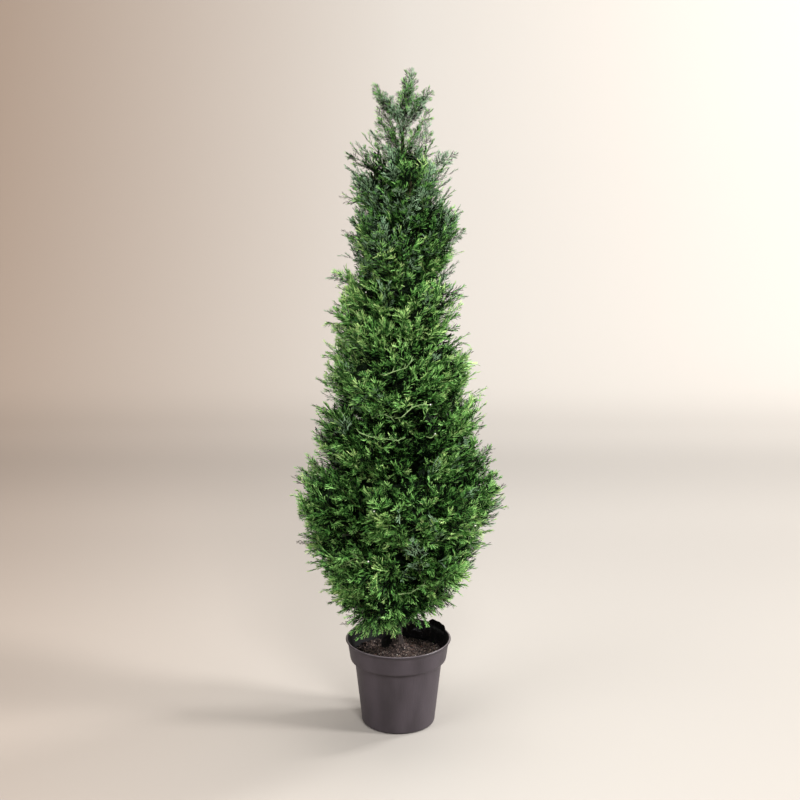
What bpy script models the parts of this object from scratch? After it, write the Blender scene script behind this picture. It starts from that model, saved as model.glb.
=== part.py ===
"""Potted cedar topiary: an artificial cedar spire in a plain round nursery pot.

Metres, +Z up. The origin is the centre of the pot's flat underside, and the front is towards -Y.
The crown is divided by rising cones into tiers, and each tier by upright planes into masses.
Each mass hangs on one short bough from the trunk, and the topmost mass sits over the trunk's tip.
"""

import math

import bmesh
import bpy
import numpy as np
from mathutils import Vector, noise
from mathutils.bvhtree import BVHTree

OVERALL_HEIGHT = 1.22
SEAT_GAP = 0.0003  # left between touching pieces

# Nursery pot
POT_HEIGHT = 0.168
LIP_RADIUS = 0.098
BAND_TOP_RADIUS = 0.0935
BAND_FOOT_RADIUS = 0.0902
SHOULDER_RADIUS = 0.0812
BASE_RADIUS = 0.0680
LIP_DEPTH = 0.010
BAND_DEPTH = 0.042
SHOULDER_DROP = 0.007
BASE_EDGE = 0.004
POT_WALL = 0.0022
POT_STEPS = 32

# Soil and the strip of black liner film that stands at the back right of the pot
SOIL_LEVEL = 0.132
SOIL_MOUND = 0.013
MOUND_RINGS = (0.017, 0.028, 0.040, 0.052)  # radii, from the trunk's flat seat to the mound's foot
MOUND_CURVE = 1.5
FILM_THICKNESS = 0.0012
FILM_START_DEG = 14.0
FILM_END_DEG = 92.0
FILM_PEAK_DEG = 34.0
FILM_PEAK_RISE = 0.012  # above the pot's lip
FILM_PEAK_SPREAD_DEG = 15.0
FILM_CLEARANCE = 0.0012
FILM_STEPS = 16

# Trunk: height, sideways place and depth of its centre line, then the crown's own tip
TRUNK_LINE = (
    (0.145, 0.000, 0.000),
    (0.300, 0.001, -0.001),
    (0.480, 0.003, 0.001),
    (0.780, -0.004, 0.002),
    (1.020, 0.005, -0.001),
    (1.150, 0.010, 0.000),
)
CROWN_TIP = (OVERALL_HEIGHT, 0.024, 0.000)
TRUNK_FOOT_RADIUS = 0.0130
TRUNK_RADIUS = 0.0072
TRUNK_TIP_RADIUS = 0.0026
FLARE_HEIGHT = 0.030
FLARE_RINGS = (0.0, 0.3, 0.65, 1.0)  # shares of the flare's height
TRUNK_RINGS = 16
TRUNK_ROUNDNESS = 3  # bevel resolution of the tube

# Crown: height, and how far its tips reach to the left and to the right of the pot's centre
CROWN_OUTLINE = (
    (0.170, 0.060, 0.045),
    (0.210, 0.098, 0.070),
    (0.245, 0.132, 0.100),
    (0.290, 0.156, 0.136),
    (0.355, 0.180, 0.150),
    (0.430, 0.182, 0.214),
    (0.480, 0.182, 0.192),
    (0.525, 0.168, 0.160),
    (0.600, 0.148, 0.150),
    (0.660, 0.142, 0.148),
    (0.735, 0.134, 0.122),
    (0.790, 0.128, 0.102),
    (0.850, 0.116, 0.102),
    (0.900, 0.092, 0.104),
    (0.955, 0.092, 0.108),
    (1.015, 0.080, 0.092),
    (1.060, 0.092, 0.087),
    (1.092, 0.036, 0.036),
    (1.120, 0.030, 0.054),
    (1.165, 0.033, 0.047),
    (1.188, 0.047, 0.056),
    (1.202, 0.002, 0.037),
    (OVERALL_HEIGHT, -0.024, 0.024),
)
OUTLINE_HALVINGS = 16
# The cones between tiers: height at the trunk's centre line, and rise for each metre outwards
TIER_CONES = (
    (0.203, 0.20),
    (0.238, 0.40),
    (0.312, 0.50),
    (0.431, 0.60),
    (0.542, 0.70),
    (0.668, 0.80),
    (0.793, 0.90),
    (0.910, 1.00),
    (1.035, 1.10),
)
CONE_WAVE = 0.010  # how far the cones rise and fall on their way round the trunk
CONE_WAVE_TURN = 1.9  # radians between one cone's waves and the next's
TIER_SECTORS = (4, 4, 4, 3, 3, 3, 3, 3)
TIER_INNER_RADII = (0.034, 0.040, 0.040, 0.034, 0.030, 0.026, 0.022, 0.018)
FIRST_TIER_DEG = 190.0
TIER_TURN_DEG = 50.0  # each tier's first mass is turned this much past the last tier's
SECTOR_SWAY_DEG = 9.0  # how far the planes between masses are turned from even spacing
SECTOR_SWAY_TURNS = (2.3, 1.7)  # radians that the sway moves on for each tier and each mass
DROOP_DEG = 190.0  # the lowest sprays hang towards the pot's rim on this side
DROOP_RISE = -0.48
MASS_GAP = 0.0045  # between neighbouring masses
MASS_SQUARENESS = 4.6  # 2 would be an ellipsoid, and more fills the corners
MASS_LUMPS = (15.0, 15.0, 13.0)  # lumps for each metre along X, Y and Z
MASS_LUMP_DEPTH = 0.17  # as a share of the crown's radius there
SPRAY_TIPS = (45.0, 45.0, 40.0)
SPRAY_TIP_REACH = 0.16
MASS_SEED_STEPS = (3.7, 1.9)  # for each tier and each mass
LEADER_SEED = 0.5
LEAST_DEPTH = 1.2  # a mass's outer radius over its inner one, at the least
LOBE_ROUNDING = 0.09
TIP_LEVEL = 0.25  # the longest sprays of a mass, from -1 at its underside to 1 at its top
FINE_CUTS = 4
COARSE_CUTS = 3
FINE_TIERS = 4
LEADER_SIDES = 14
LEADER_RINGS = 9
LEADER_HOLE_CLEARANCE = 0.0004

# Boughs
BOUGH_RADIUS_LOW = 0.0034
BOUGH_RADIUS_HIGH = 0.0022
BOUGH_TAPER = 0.78
BOUGH_SIDES = 8
BOUGH_RISE_DEG = 24.0
BOUGH_MIDDLE = 0.45  # share of the way from trunk to mass, where the limb's length is measured from

SHARP_EDGE_DEG = 40.0

MATERIALS = {
    "pot_plastic": ((0.072, 0.062, 0.068), 0.48),
    "soil": ((0.050, 0.038, 0.031), 0.95),
    "liner_film": ((0.010, 0.010, 0.012), 0.30),
    "trunk_bark": ((0.090, 0.062, 0.045), 0.90),
    "bough_stem": ((0.100, 0.110, 0.050), 0.75),
    "foliage": ((0.045, 0.120, 0.030), 0.60),
}


def clear_scene():
    """Removes every object that the file opened with."""
    for obj in list(bpy.data.objects):
        bpy.data.objects.remove(obj)


def new_collection(name):
    """A collection of that name in the scene."""
    collection = bpy.data.collections.new(name)
    bpy.context.scene.collection.children.link(collection)
    return collection


def material(name):
    """The Principled material of that name, made on first use."""
    if name in bpy.data.materials:
        return bpy.data.materials[name]
    colour, roughness = MATERIALS[name]
    made = bpy.data.materials.new(name)
    made.use_nodes = True
    shader = made.node_tree.nodes["Principled BSDF"]
    shader.inputs["Base Color"].default_value = (*colour, 1.0)
    shader.inputs["Roughness"].default_value = roughness
    shader.inputs["Metallic"].default_value = 0.0
    return made


def new_object(name, mesh, collection, finish):
    """An object in the collection, in one material."""
    obj = bpy.data.objects.new(name, mesh)
    collection.objects.link(obj)
    mesh.materials.append(material(finish))
    return obj


def smooth_mesh(name, shape):
    """A smooth-shaded mesh from a bmesh, which is freed."""
    mesh = bpy.data.meshes.new(name)
    shape.to_mesh(mesh)
    shape.free()
    mesh.shade_smooth()
    mesh.set_sharp_from_angle(angle=math.radians(SHARP_EDGE_DEG))
    return mesh


def turned(name, profile, steps, collection, finish):
    """A body of revolution. The profile starts on the axis and ends with its outer side, top down."""
    mesh = bpy.data.meshes.new(name)
    points = [(radius, 0.0, height) for radius, height in profile]
    edges = [(i, i + 1) for i in range(len(points) - 1)]
    mesh.from_pydata(points, edges, [])
    obj = new_object(name, mesh, collection, finish)
    screw = obj.modifiers.new("turn", "SCREW")
    screw.steps = steps
    screw.render_steps = steps
    screw.use_merge_vertices = True
    screw.merge_threshold = 0.00002
    screw.use_smooth_shade = True
    return obj


def wall_radius(height):
    """Outer radius of the pot's plain wall, below its shoulder."""
    top = POT_HEIGHT - BAND_DEPTH - SHOULDER_DROP
    return BASE_RADIUS + (SHOULDER_RADIUS - BASE_RADIUS) * height / top


def inner_radius(height):
    """Inner radius of the pot at a height."""
    band_foot = POT_HEIGHT - BAND_DEPTH
    heights = (0.0, band_foot - SHOULDER_DROP, band_foot, POT_HEIGHT - LIP_DEPTH, POT_HEIGHT)
    radii = (BASE_RADIUS, SHOULDER_RADIUS, BAND_FOOT_RADIUS, BAND_TOP_RADIUS, LIP_RADIUS)
    return float(np.interp(height, heights, radii)) - POT_WALL


def build_pot(collection):
    """The nursery pot: a tapered wall, a wider band under the lip and a flat base."""
    band_foot = POT_HEIGHT - BAND_DEPTH
    shoulder = band_foot - SHOULDER_DROP
    inside = [POT_WALL, shoulder, band_foot, POT_HEIGHT - LIP_DEPTH]
    profile = [(0.0, POT_WALL)]
    profile += [(inner_radius(height), height) for height in inside]
    profile += [
        (LIP_RADIUS - POT_WALL, POT_HEIGHT),
        (LIP_RADIUS, POT_HEIGHT - POT_WALL / 2),
        (BAND_TOP_RADIUS, POT_HEIGHT - LIP_DEPTH),
        (BAND_FOOT_RADIUS, band_foot),
        (SHOULDER_RADIUS, shoulder),
        (wall_radius(BASE_EDGE), BASE_EDGE),
        (BASE_RADIUS - BASE_EDGE, 0.0),
        (0.0, 0.0),
    ]
    return turned("pot", profile, POT_STEPS, collection, "pot_plastic")


def soil_height(radius):
    """Height of the soil's surface: a flat seat for the trunk, a rounded mound, then a level edge."""
    seat, foot = MOUND_RINGS[0], MOUND_RINGS[-1]
    share = min(max((radius - seat) / (foot - seat), 0.0), 1.0)
    return SOIL_LEVEL + SOIL_MOUND * (1.0 - share**MOUND_CURVE)


def build_soil(collection):
    """The soil in the pot, filling it from the base to a low mound round the trunk."""
    floor = POT_WALL + SEAT_GAP
    band_foot = POT_HEIGHT - BAND_DEPTH
    shoulder = band_foot - SHOULDER_DROP
    edge = inner_radius(SOIL_LEVEL) - SEAT_GAP
    profile = [(0.0, soil_height(0.0))]
    profile += [(radius, soil_height(radius)) for radius in MOUND_RINGS]
    profile += [
        (edge, SOIL_LEVEL),
        (inner_radius(band_foot) - SEAT_GAP, band_foot),
        (inner_radius(shoulder) - SEAT_GAP, shoulder),
        (inner_radius(floor) - SEAT_GAP, floor),
        (0.0, floor),
    ]
    return turned("soil", profile, POT_STEPS, collection, "soil")


def film_top(degrees):
    """Height of the film's upper edge in a direction: level with the lip, then rising to a peak."""
    away = (degrees - FILM_PEAK_DEG) / FILM_PEAK_SPREAD_DEG
    return POT_HEIGHT + FILM_PEAK_RISE * math.exp(-0.5 * away * away)


def build_liner_film(collection):
    """A stiff strip of black film that stands on the soil along the pot's inner wall, back right."""
    foot = SOIL_LEVEL + SEAT_GAP
    shape = bmesh.new()
    rows = []
    for step in range(FILM_STEPS + 1):
        degrees = FILM_START_DEG + (FILM_END_DEG - FILM_START_DEG) * step / FILM_STEPS
        angle = math.radians(degrees)
        row = []
        for height in (foot, POT_HEIGHT - LIP_DEPTH, POT_HEIGHT - POT_WALL, film_top(degrees)):
            radius = inner_radius(min(height, POT_HEIGHT)) - FILM_CLEARANCE
            row.append(shape.verts.new((radius * math.cos(angle), radius * math.sin(angle), height)))
        rows.append(row)
    for near, far in zip(rows, rows[1:]):
        for low in range(len(near) - 1):
            shape.faces.new((near[low], far[low], far[low + 1], near[low + 1]))
    obj = new_object("liner_film", smooth_mesh("liner_film", shape), collection, "liner_film")
    solid = obj.modifiers.new("film", "SOLIDIFY")
    solid.thickness = FILM_THICKNESS
    solid.offset = -1.0
    return obj


def trunk_centre(height):
    """The trunk's centre line at a height, eased between its named places and on to the tip."""
    line = (*TRUNK_LINE, CROWN_TIP)
    height = min(max(height, line[0][0]), line[-1][0])
    for low, high in zip(line, line[1:]):
        if height <= high[0]:
            share = (height - low[0]) / (high[0] - low[0])
            share = share * share * (3.0 - 2.0 * share)
            sideways = low[1] + (high[1] - low[1]) * share
            depth = low[2] + (high[2] - low[2]) * share
            return Vector((sideways, depth, height))
    return Vector((line[-1][1], line[-1][2], height))


def trunk_radius(height):
    """The trunk's radius: an even taper, with a flare at its foot."""
    foot, tip = TRUNK_LINE[0][0], TRUNK_LINE[-1][0]
    share = (height - foot) / (tip - foot)
    taper = (TRUNK_TIP_RADIUS - TRUNK_RADIUS) * share
    flare = (TRUNK_FOOT_RADIUS - TRUNK_RADIUS) * max(0.0, 1.0 - (height - foot) / FLARE_HEIGHT) ** 2
    return TRUNK_RADIUS + taper + flare


def mesh_from_curve(obj):
    """A mesh object in place of a curve object, with its end caps welded on."""
    graph = bpy.context.evaluated_depsgraph_get()
    tube = bpy.data.meshes.new_from_object(obj.evaluated_get(graph))
    shape = bmesh.new()
    shape.from_mesh(tube)
    bmesh.ops.remove_doubles(shape, verts=shape.verts, dist=0.00001)
    bmesh.ops.recalc_face_normals(shape, faces=shape.faces)
    name, place, collections = obj.name, obj.matrix_world.copy(), obj.users_collection
    bpy.data.objects.remove(obj)
    mesh = smooth_mesh(name, shape)
    mesh.materials.append(tube.materials[0])
    made = bpy.data.objects.new(name, mesh)
    made.matrix_world = place
    for collection in collections:
        collection.objects.link(made)
    return made


def trunk_tube(name, clearance, collection):
    """The trunk's tapering tube, from its flat foot to its tip, with room to spare where asked."""
    foot, tip = TRUNK_LINE[0][0] + SEAT_GAP, TRUNK_LINE[-1][0]
    heights = [foot + FLARE_HEIGHT * share for share in FLARE_RINGS]
    straight = tip - heights[-1]
    heights += [tip - straight * (TRUNK_RINGS - ring) / TRUNK_RINGS for ring in range(1, TRUNK_RINGS)]
    heights.append(tip + clearance)
    curve = bpy.data.curves.new(name, "CURVE")
    curve.dimensions = "3D"
    curve.bevel_depth = 1.0
    curve.bevel_resolution = TRUNK_ROUNDNESS
    curve.use_fill_caps = True
    spline = curve.splines.new("POLY")
    spline.points.add(len(heights) - 1)
    for point, height in zip(spline.points, heights):
        centre = trunk_centre(height)
        point.co = (centre.x, centre.y, height, 1.0)
        point.radius = trunk_radius(height) + clearance
    # The first two points stand upright over each other, so that the foot is cut level.
    for point in spline.points[:2]:
        point.co.xy = TRUNK_LINE[0][1:]
    curve.materials.append(material("trunk_bark"))
    obj = bpy.data.objects.new(name, curve)
    collection.objects.link(obj)
    bpy.context.view_layer.update()
    return mesh_from_curve(obj)


def crown_reach(height, angle):
    """How far the crown's tips reach from the trunk's centre line, at a height and direction."""
    heights = [row[0] for row in CROWN_OUTLINE]
    centre = trunk_centre(height).x
    left = float(np.interp(height, heights, [row[1] for row in CROWN_OUTLINE])) + centre
    right = float(np.interp(height, heights, [row[2] for row in CROWN_OUTLINE])) - centre
    rightness = (1.0 + math.cos(angle)) / 2.0
    return left + (right - left) * rightness


def cone(index, angle):
    """The cone under a tier, in one direction: its height at the trunk's centre, and its rise."""
    height, rise = TIER_CONES[index]
    if index == 0:
        rise += DROOP_RISE * max(0.0, math.cos(angle - math.radians(DROOP_DEG))) ** 2
    return height + CONE_WAVE * math.sin(2.0 * angle + CONE_WAVE_TURN * index), rise


def cone_reach(base, rise, angle):
    """How far out a rising cone meets the crown's outline, by halving steps."""
    near, far = 0.0, max(row[1] + row[2] for row in CROWN_OUTLINE)
    for _ in range(OUTLINE_HALVINGS):
        middle = (near + far) / 2.0
        if crown_reach(base + rise * middle, angle) > middle:
            near = middle
        else:
            far = middle
    return near


def unevenness(place, seed):
    """A factor near 1 that gives the outer face of each mass its lumps and single spray tips."""
    shift = Vector((0.0, 0.0, seed))
    coarse = noise.noise(place * Vector(MASS_LUMPS) + shift)
    single = noise.cell(place * Vector(SPRAY_TIPS) - shift)
    return 1.0 + MASS_LUMP_DEPTH * coarse + SPRAY_TIP_REACH * (abs(single) - 0.5)


def rounded_box(direction):
    """The point in that direction on a box with soft edges, each side from -1 to 1."""
    power = MASS_SQUARENESS
    size = sum(abs(part) ** power for part in direction) ** (1.0 / power)
    return direction / size


def crown_place(tier, middle, half_angle, local, seed):
    """Maps a point of the unit box to its place in one mass of a tier.

    local.x runs outwards, local.y round the trunk and local.z up, each from -1 to 1.
    """
    angle = middle + local.y * half_angle
    low_height, low_rise = cone(tier, angle)
    high_height, high_rise = cone(tier + 1, angle)
    up = (local.z + 1.0) / 2.0
    out = (local.x + 1.0) / 2.0
    base = low_height + MASS_GAP / 2 + (high_height - low_height - MASS_GAP) * up
    rise = low_rise + (high_rise - low_rise) * up
    inner = TIER_INNER_RADII[tier]
    reach = cone_reach(base, rise, angle)
    rough = Vector((reach * math.cos(angle), reach * math.sin(angle), base + rise * reach))
    lobe = 1.0 - LOBE_ROUNDING * (local.y**2 + (local.z - TIP_LEVEL) ** 2 / 2.0)
    reach *= unevenness(rough, seed) * lobe
    radius = inner + (max(reach, inner * LEAST_DEPTH) - inner) * out
    angle = middle + local.y * (half_angle - MASS_GAP / (2.0 * radius))
    height = base + rise * radius
    centre = trunk_centre(height)
    return Vector((centre.x + radius * math.cos(angle), centre.y + radius * math.sin(angle), height))


def build_mass(name, tier, middle, half_angle, seed, collection):
    """One closed, uneven mass of foliage in its own part of a tier."""
    shape = bmesh.new()
    bmesh.ops.create_cube(shape, size=2.0)
    cuts = FINE_CUTS if tier < FINE_TIERS else COARSE_CUTS
    bmesh.ops.subdivide_edges(shape, edges=shape.edges[:], cuts=cuts, use_grid_fill=True)
    for vert in shape.verts:
        vert.co = crown_place(tier, middle, half_angle, rounded_box(vert.co.normalized()), seed)
    return new_object(name, smooth_mesh(name, shape), collection, "foliage")


def leader_place(direction):
    """Maps a point of the unit sphere to the leader: its cone below, and its outline above."""
    angle = math.atan2(direction.y, direction.x)
    across = math.hypot(direction.x, direction.y)
    cone_height, cone_rise = cone(len(TIER_CONES) - 1, angle)
    cone_height += MASS_GAP
    waist_radius = cone_reach(cone_height, cone_rise, angle)
    waist = cone_height + cone_rise * waist_radius
    if direction.z < 0.0:
        radius = waist_radius * across
        height = cone_height + cone_rise * radius
    else:
        height = waist + (OVERALL_HEIGHT - waist) * math.acos(min(across, 1.0)) / (math.pi / 2.0)
        radius = max(crown_reach(height, angle), 0.0)
        place = Vector((radius * math.cos(angle), radius * math.sin(angle), height))
        radius *= unevenness(place, LEADER_SEED)
    centre = trunk_centre(height)
    return Vector((centre.x + radius * math.cos(angle), centre.y + radius * math.sin(angle), height))


def build_leader(cutter, collection):
    """The topmost mass, a narrow flame over the trunk's tip, hollowed to take the trunk."""
    shape = bmesh.new()
    bmesh.ops.create_uvsphere(shape, u_segments=LEADER_SIDES, v_segments=LEADER_RINGS * 2, radius=1.0)
    for vert in shape.verts:
        vert.co = leader_place(vert.co)
    obj = new_object("foliage_leader", smooth_mesh("foliage_leader", shape), collection, "foliage")
    hollow = obj.modifiers.new("trunk hole", "BOOLEAN")
    hollow.operation = "DIFFERENCE"
    hollow.solver = "EXACT"
    hollow.object = cutter
    return obj


def tree_of(obj):
    """A search tree over an object's evaluated faces, in world space."""
    return BVHTree.FromObject(obj, bpy.context.evaluated_depsgraph_get())


def first_hit(tree, origin, direction, radius):
    """How far a rod of that radius travels from a point before it meets the surface."""
    across = direction.orthogonal().normalized()
    other = direction.cross(across)
    nearest = tree.ray_cast(origin, direction)[3]
    for step in range(BOUGH_SIDES * 2):
        angle = math.pi * step / BOUGH_SIDES
        start = origin + (across * math.cos(angle) + other * math.sin(angle)) * radius
        distance = tree.ray_cast(start, direction)[3]
        if distance is not None and (nearest is None or distance < nearest):
            nearest = distance
    return nearest


def build_bough(name, mass, trunk_tree, tier, middle, collection):
    """One tapering limb, from the trunk's bark to the inner face of its mass."""
    nearest = min((vert.co for vert in mass.data.vertices), key=lambda p: (p - trunk_centre(p.z)).length)
    outwards = Vector((math.cos(middle), math.sin(middle), 0.0))
    rise = math.radians(BOUGH_RISE_DEG)
    direction = outwards * math.cos(rise) + Vector((0.0, 0.0, math.sin(rise)))
    end = trunk_centre(nearest.z) + outwards * TIER_INNER_RADII[tier]
    start = end - direction * (1.0 - BOUGH_MIDDLE) * TIER_INNER_RADII[tier] / math.cos(rise)
    share = tier / (len(TIER_SECTORS) - 1)
    thick = BOUGH_RADIUS_LOW + (BOUGH_RADIUS_HIGH - BOUGH_RADIUS_LOW) * share
    thin = thick * BOUGH_TAPER
    outwards_run = first_hit(tree_of(mass), start, direction, thin) - SEAT_GAP
    inwards_run = first_hit(trunk_tree, start, -direction, thick) - SEAT_GAP
    length = outwards_run + inwards_run
    shape = bmesh.new()
    bmesh.ops.create_cone(
        shape, cap_ends=True, segments=BOUGH_SIDES, radius1=thick, radius2=thin, depth=length
    )
    obj = new_object(name, smooth_mesh(name, shape), collection, "bough_stem")
    obj.location = start + direction * (outwards_run - inwards_run) / 2.0
    obj.rotation_mode = "QUATERNION"
    obj.rotation_quaternion = direction.to_track_quat("Z", "Y")
    return obj


def sector_edges(tier):
    """The directions of the upright planes that divide a tier, unevenly spaced, in radians."""
    sectors = TIER_SECTORS[tier]
    edges = []
    for index in range(sectors):
        even = FIRST_TIER_DEG + TIER_TURN_DEG * tier + 360.0 * (index - 0.5) / sectors
        sway = SECTOR_SWAY_DEG * math.sin(SECTOR_SWAY_TURNS[0] * tier + SECTOR_SWAY_TURNS[1] * index)
        edges.append(math.radians(even + sway))
    return edges + [edges[0] + 2.0 * math.pi]


def build_crown(trunk, collection):
    """Every mass of the crown below the leader, each with its bough."""
    bpy.context.view_layer.update()
    trunk_tree = tree_of(trunk)
    for tier in range(len(TIER_SECTORS)):
        edges = sector_edges(tier)
        for sector, (start, end) in enumerate(zip(edges, edges[1:])):
            middle, half_angle = (start + end) / 2.0, (end - start) / 2.0
            label = f"tier{tier + 1}_{'abcd'[sector]}"
            seed = tier * MASS_SEED_STEPS[0] + sector * MASS_SEED_STEPS[1]
            mass = build_mass(f"foliage_{label}", tier, middle, half_angle, seed, collection)
            bpy.context.view_layer.update()
            build_bough(f"bough_{label}", mass, trunk_tree, tier, middle, collection)


def main():
    """Builds the whole object."""
    clear_scene()
    parts = new_collection("potted_cedar_topiary")
    cutters = new_collection("cutters")
    build_pot(parts)
    build_soil(parts)
    build_liner_film(parts)
    trunk = trunk_tube("trunk", 0.0, parts)
    cutter = trunk_tube("trunk_cutter", LEADER_HOLE_CLEARANCE, cutters)
    cutter.hide_render = True
    cutter.display_type = "WIRE"
    build_leader(cutter, parts)
    build_crown(trunk, parts)


main()
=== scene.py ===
"""Potted artificial cedar spire: the looks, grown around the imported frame.

A slim flame-shaped cedar of moulded plastic sprays stands in a dark nursery pot. The pot, its soil,
the black film behind the trunk, the bark and every spray are modelled here, each where the CAD
solid stands that it replaces. All sizes are metres, with +Z up and the floor at zero, but for the
tables of single places, which are in whole millimetres.
"""

import logging
import math
from dataclasses import dataclass, field
from enum import Enum

import bmesh
import bpy
import numpy as np
from mathutils import Matrix, Vector, noise
from mathutils.bvhtree import BVHTree


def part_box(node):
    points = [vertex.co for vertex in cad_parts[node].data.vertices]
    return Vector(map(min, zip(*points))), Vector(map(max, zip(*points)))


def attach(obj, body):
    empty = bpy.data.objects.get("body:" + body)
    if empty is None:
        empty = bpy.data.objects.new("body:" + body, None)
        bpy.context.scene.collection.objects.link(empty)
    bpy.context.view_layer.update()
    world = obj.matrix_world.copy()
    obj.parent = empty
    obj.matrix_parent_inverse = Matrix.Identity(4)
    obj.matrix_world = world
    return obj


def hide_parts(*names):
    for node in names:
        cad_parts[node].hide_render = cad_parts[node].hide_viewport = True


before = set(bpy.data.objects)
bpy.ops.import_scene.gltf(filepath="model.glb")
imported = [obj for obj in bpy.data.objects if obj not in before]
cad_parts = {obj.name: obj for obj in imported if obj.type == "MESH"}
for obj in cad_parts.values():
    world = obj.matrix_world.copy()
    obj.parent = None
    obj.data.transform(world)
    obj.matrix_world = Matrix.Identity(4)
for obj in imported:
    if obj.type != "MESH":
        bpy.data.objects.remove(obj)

BODY = "root"
POT, SOIL, FILM, TRUNK = "pot", "soil", "liner_film", "trunk"
LEADER = "foliage_leader"
FOLIAGE = sorted(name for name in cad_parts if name.startswith("foliage_"))
BOUGHS = sorted(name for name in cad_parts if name.startswith("bough_"))
MOST_TRIANGLES = 190_000  # in one joined piece
FULL_TURN = 2.0 * math.pi
OUTSIDE = 0.6  # further from the trunk than any part of the crown
MERGE = 0.00001  # vertices closer than this are one
UP = np.array((0.0, 0.0, 1.0))
LEVEL = np.array((1.0, 1.0, 0.0))  # takes the height out of a direction
Triple = tuple[float, float, float]
Range = tuple[float, float]

log = logging.getLogger("cedar")


class Tone(Enum):
    """Colours of the moulded cedar plastic, dealt out spray by spray and shoot by shoot; the near-black inner
    tone is painted shade, not a colour of the plastic.
    """

    INNER = "inner"
    DEEP = "deep"
    MID = "mid"
    FRESH = "fresh"
    LIME = "lime"
    SLATE = "slate"
    TWIG = "twig"
    BARE = "bare"


class Part(Enum):
    """Where a shoot sits in its fan."""

    RIB = 0
    # a shoot dealt a darker tone than its fan: painted shade between the lit shoots
    SHADE = 1
    HEART = 2
    TIP = 3


class FanKind(Enum):
    """The kinds of fan: on full sprays, on slender ones, in the heart, where they carry painted shade, and on
    bare twigs.
    """

    FULL = "full"
    SPARSE = "sparse"
    FILLER = "filler"
    BARE = "bare"


def linear(colour: Triple) -> tuple[float, float, float, float]:
    """Turns a display colour into the linear one that a shader takes.

    Args:
        colour: red, green and blue, each from 0 to 255.

    Returns:
        Linear red, green and blue, and an alpha of 1.
    """
    shares = [value / 255.0 for value in colour]
    lit = [s / 12.92 if s <= 0.04045 else ((s + 0.055) / 1.055) ** 2.4 for s in shares]
    return (*lit, 1.0)


def metres(*millimetres: float) -> np.ndarray:
    """A place in metres, from a table's whole millimetres."""
    return np.array(millimetres) / 1000.0


def unit(vector: np.ndarray) -> np.ndarray:
    """A vector's direction, with a length of 1."""
    return vector / max(float(np.linalg.norm(vector)), 1e-9)


def squared(face: np.ndarray, along: np.ndarray) -> np.ndarray:
    """The part of a direction that is square to another of length 1, brought to length 1."""
    return unit(face - along * float(np.dot(face, along)))


def turned(vector: np.ndarray, axis: np.ndarray, angle: float) -> np.ndarray:
    """Turns a vector about an axis.

    Args:
        vector: what is turned.
        axis: the axis, of length 1.
        angle: the turn in radians.

    Returns:
        The turned vector.
    """
    across = np.cross(axis, vector)
    along = axis * float(np.dot(axis, vector))
    return vector * math.cos(angle) + across * math.sin(angle) + along * (1.0 - math.cos(angle))


def level_way(angle: float) -> np.ndarray:
    """The level direction at an angle from X, in radians."""
    return np.array((math.cos(angle), math.sin(angle), 0.0))


def heading_vector(heading: float, pitch: float) -> np.ndarray:
    """The direction with a heading from Y towards X and a pitch up from the XY plane, in radians."""
    level = math.cos(pitch)
    return np.array((math.sin(heading) * level, math.cos(heading) * level, math.sin(pitch)))


def smooth_step(share: float) -> float:
    """Eases a share from 0 to 1, level at both ends."""
    share = min(max(share, 0.0), 1.0)
    return share * share * (3.0 - 2.0 * share)


def place_at(mark: float, marks: np.ndarray, path: np.ndarray) -> np.ndarray:
    """The place on a path at a mark, given the marks of the path's own places."""
    return np.array([np.interp(mark, marks, path[:, axis]) for axis in range(3)])


def node_places(name: str) -> np.ndarray:
    """The vertices of a CAD node, one row each."""
    return np.array([tuple(vert.co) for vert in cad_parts[name].data.vertices])


def feed(tree: bpy.types.NodeTree, node: bpy.types.Node, inputs: dict) -> None:
    """Sets a node's inputs.

    Args:
        tree: the node tree.
        node: the node.
        inputs: for each input's name or number, a constant or the output that feeds it.
    """
    for label, value in inputs.items():
        if isinstance(value, bpy.types.NodeSocket):
            tree.links.new(value, node.inputs[label])
        else:
            node.inputs[label].default_value = value


def add_node(tree: bpy.types.NodeTree, kind: str, inputs: dict, **settings) -> bpy.types.NodeOutputs:
    """Adds a shader node.

    Args:
        tree: the node tree.
        kind: the node's type, without its first word ShaderNode.
        inputs: for each input's name or number, a constant or the output that feeds it.
        settings: the node's own properties.

    Returns:
        The node's outputs.
    """
    node = tree.nodes.new("ShaderNode" + kind)
    for label, value in settings.items():
        setattr(node, label, value)
    feed(tree, node, inputs)
    return node.outputs


def new_material(name: str) -> tuple[bpy.types.NodeTree, bpy.types.Node, bpy.types.Material]:
    """Makes a material.

    Args:
        name: its name.

    Returns:
        Its node tree, its shader and the material.
    """
    material = bpy.data.materials.new(name)
    material.use_nodes = True
    tree = material.node_tree
    return tree, next(node for node in tree.nodes if node.type == "BSDF_PRINCIPLED"), material


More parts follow.
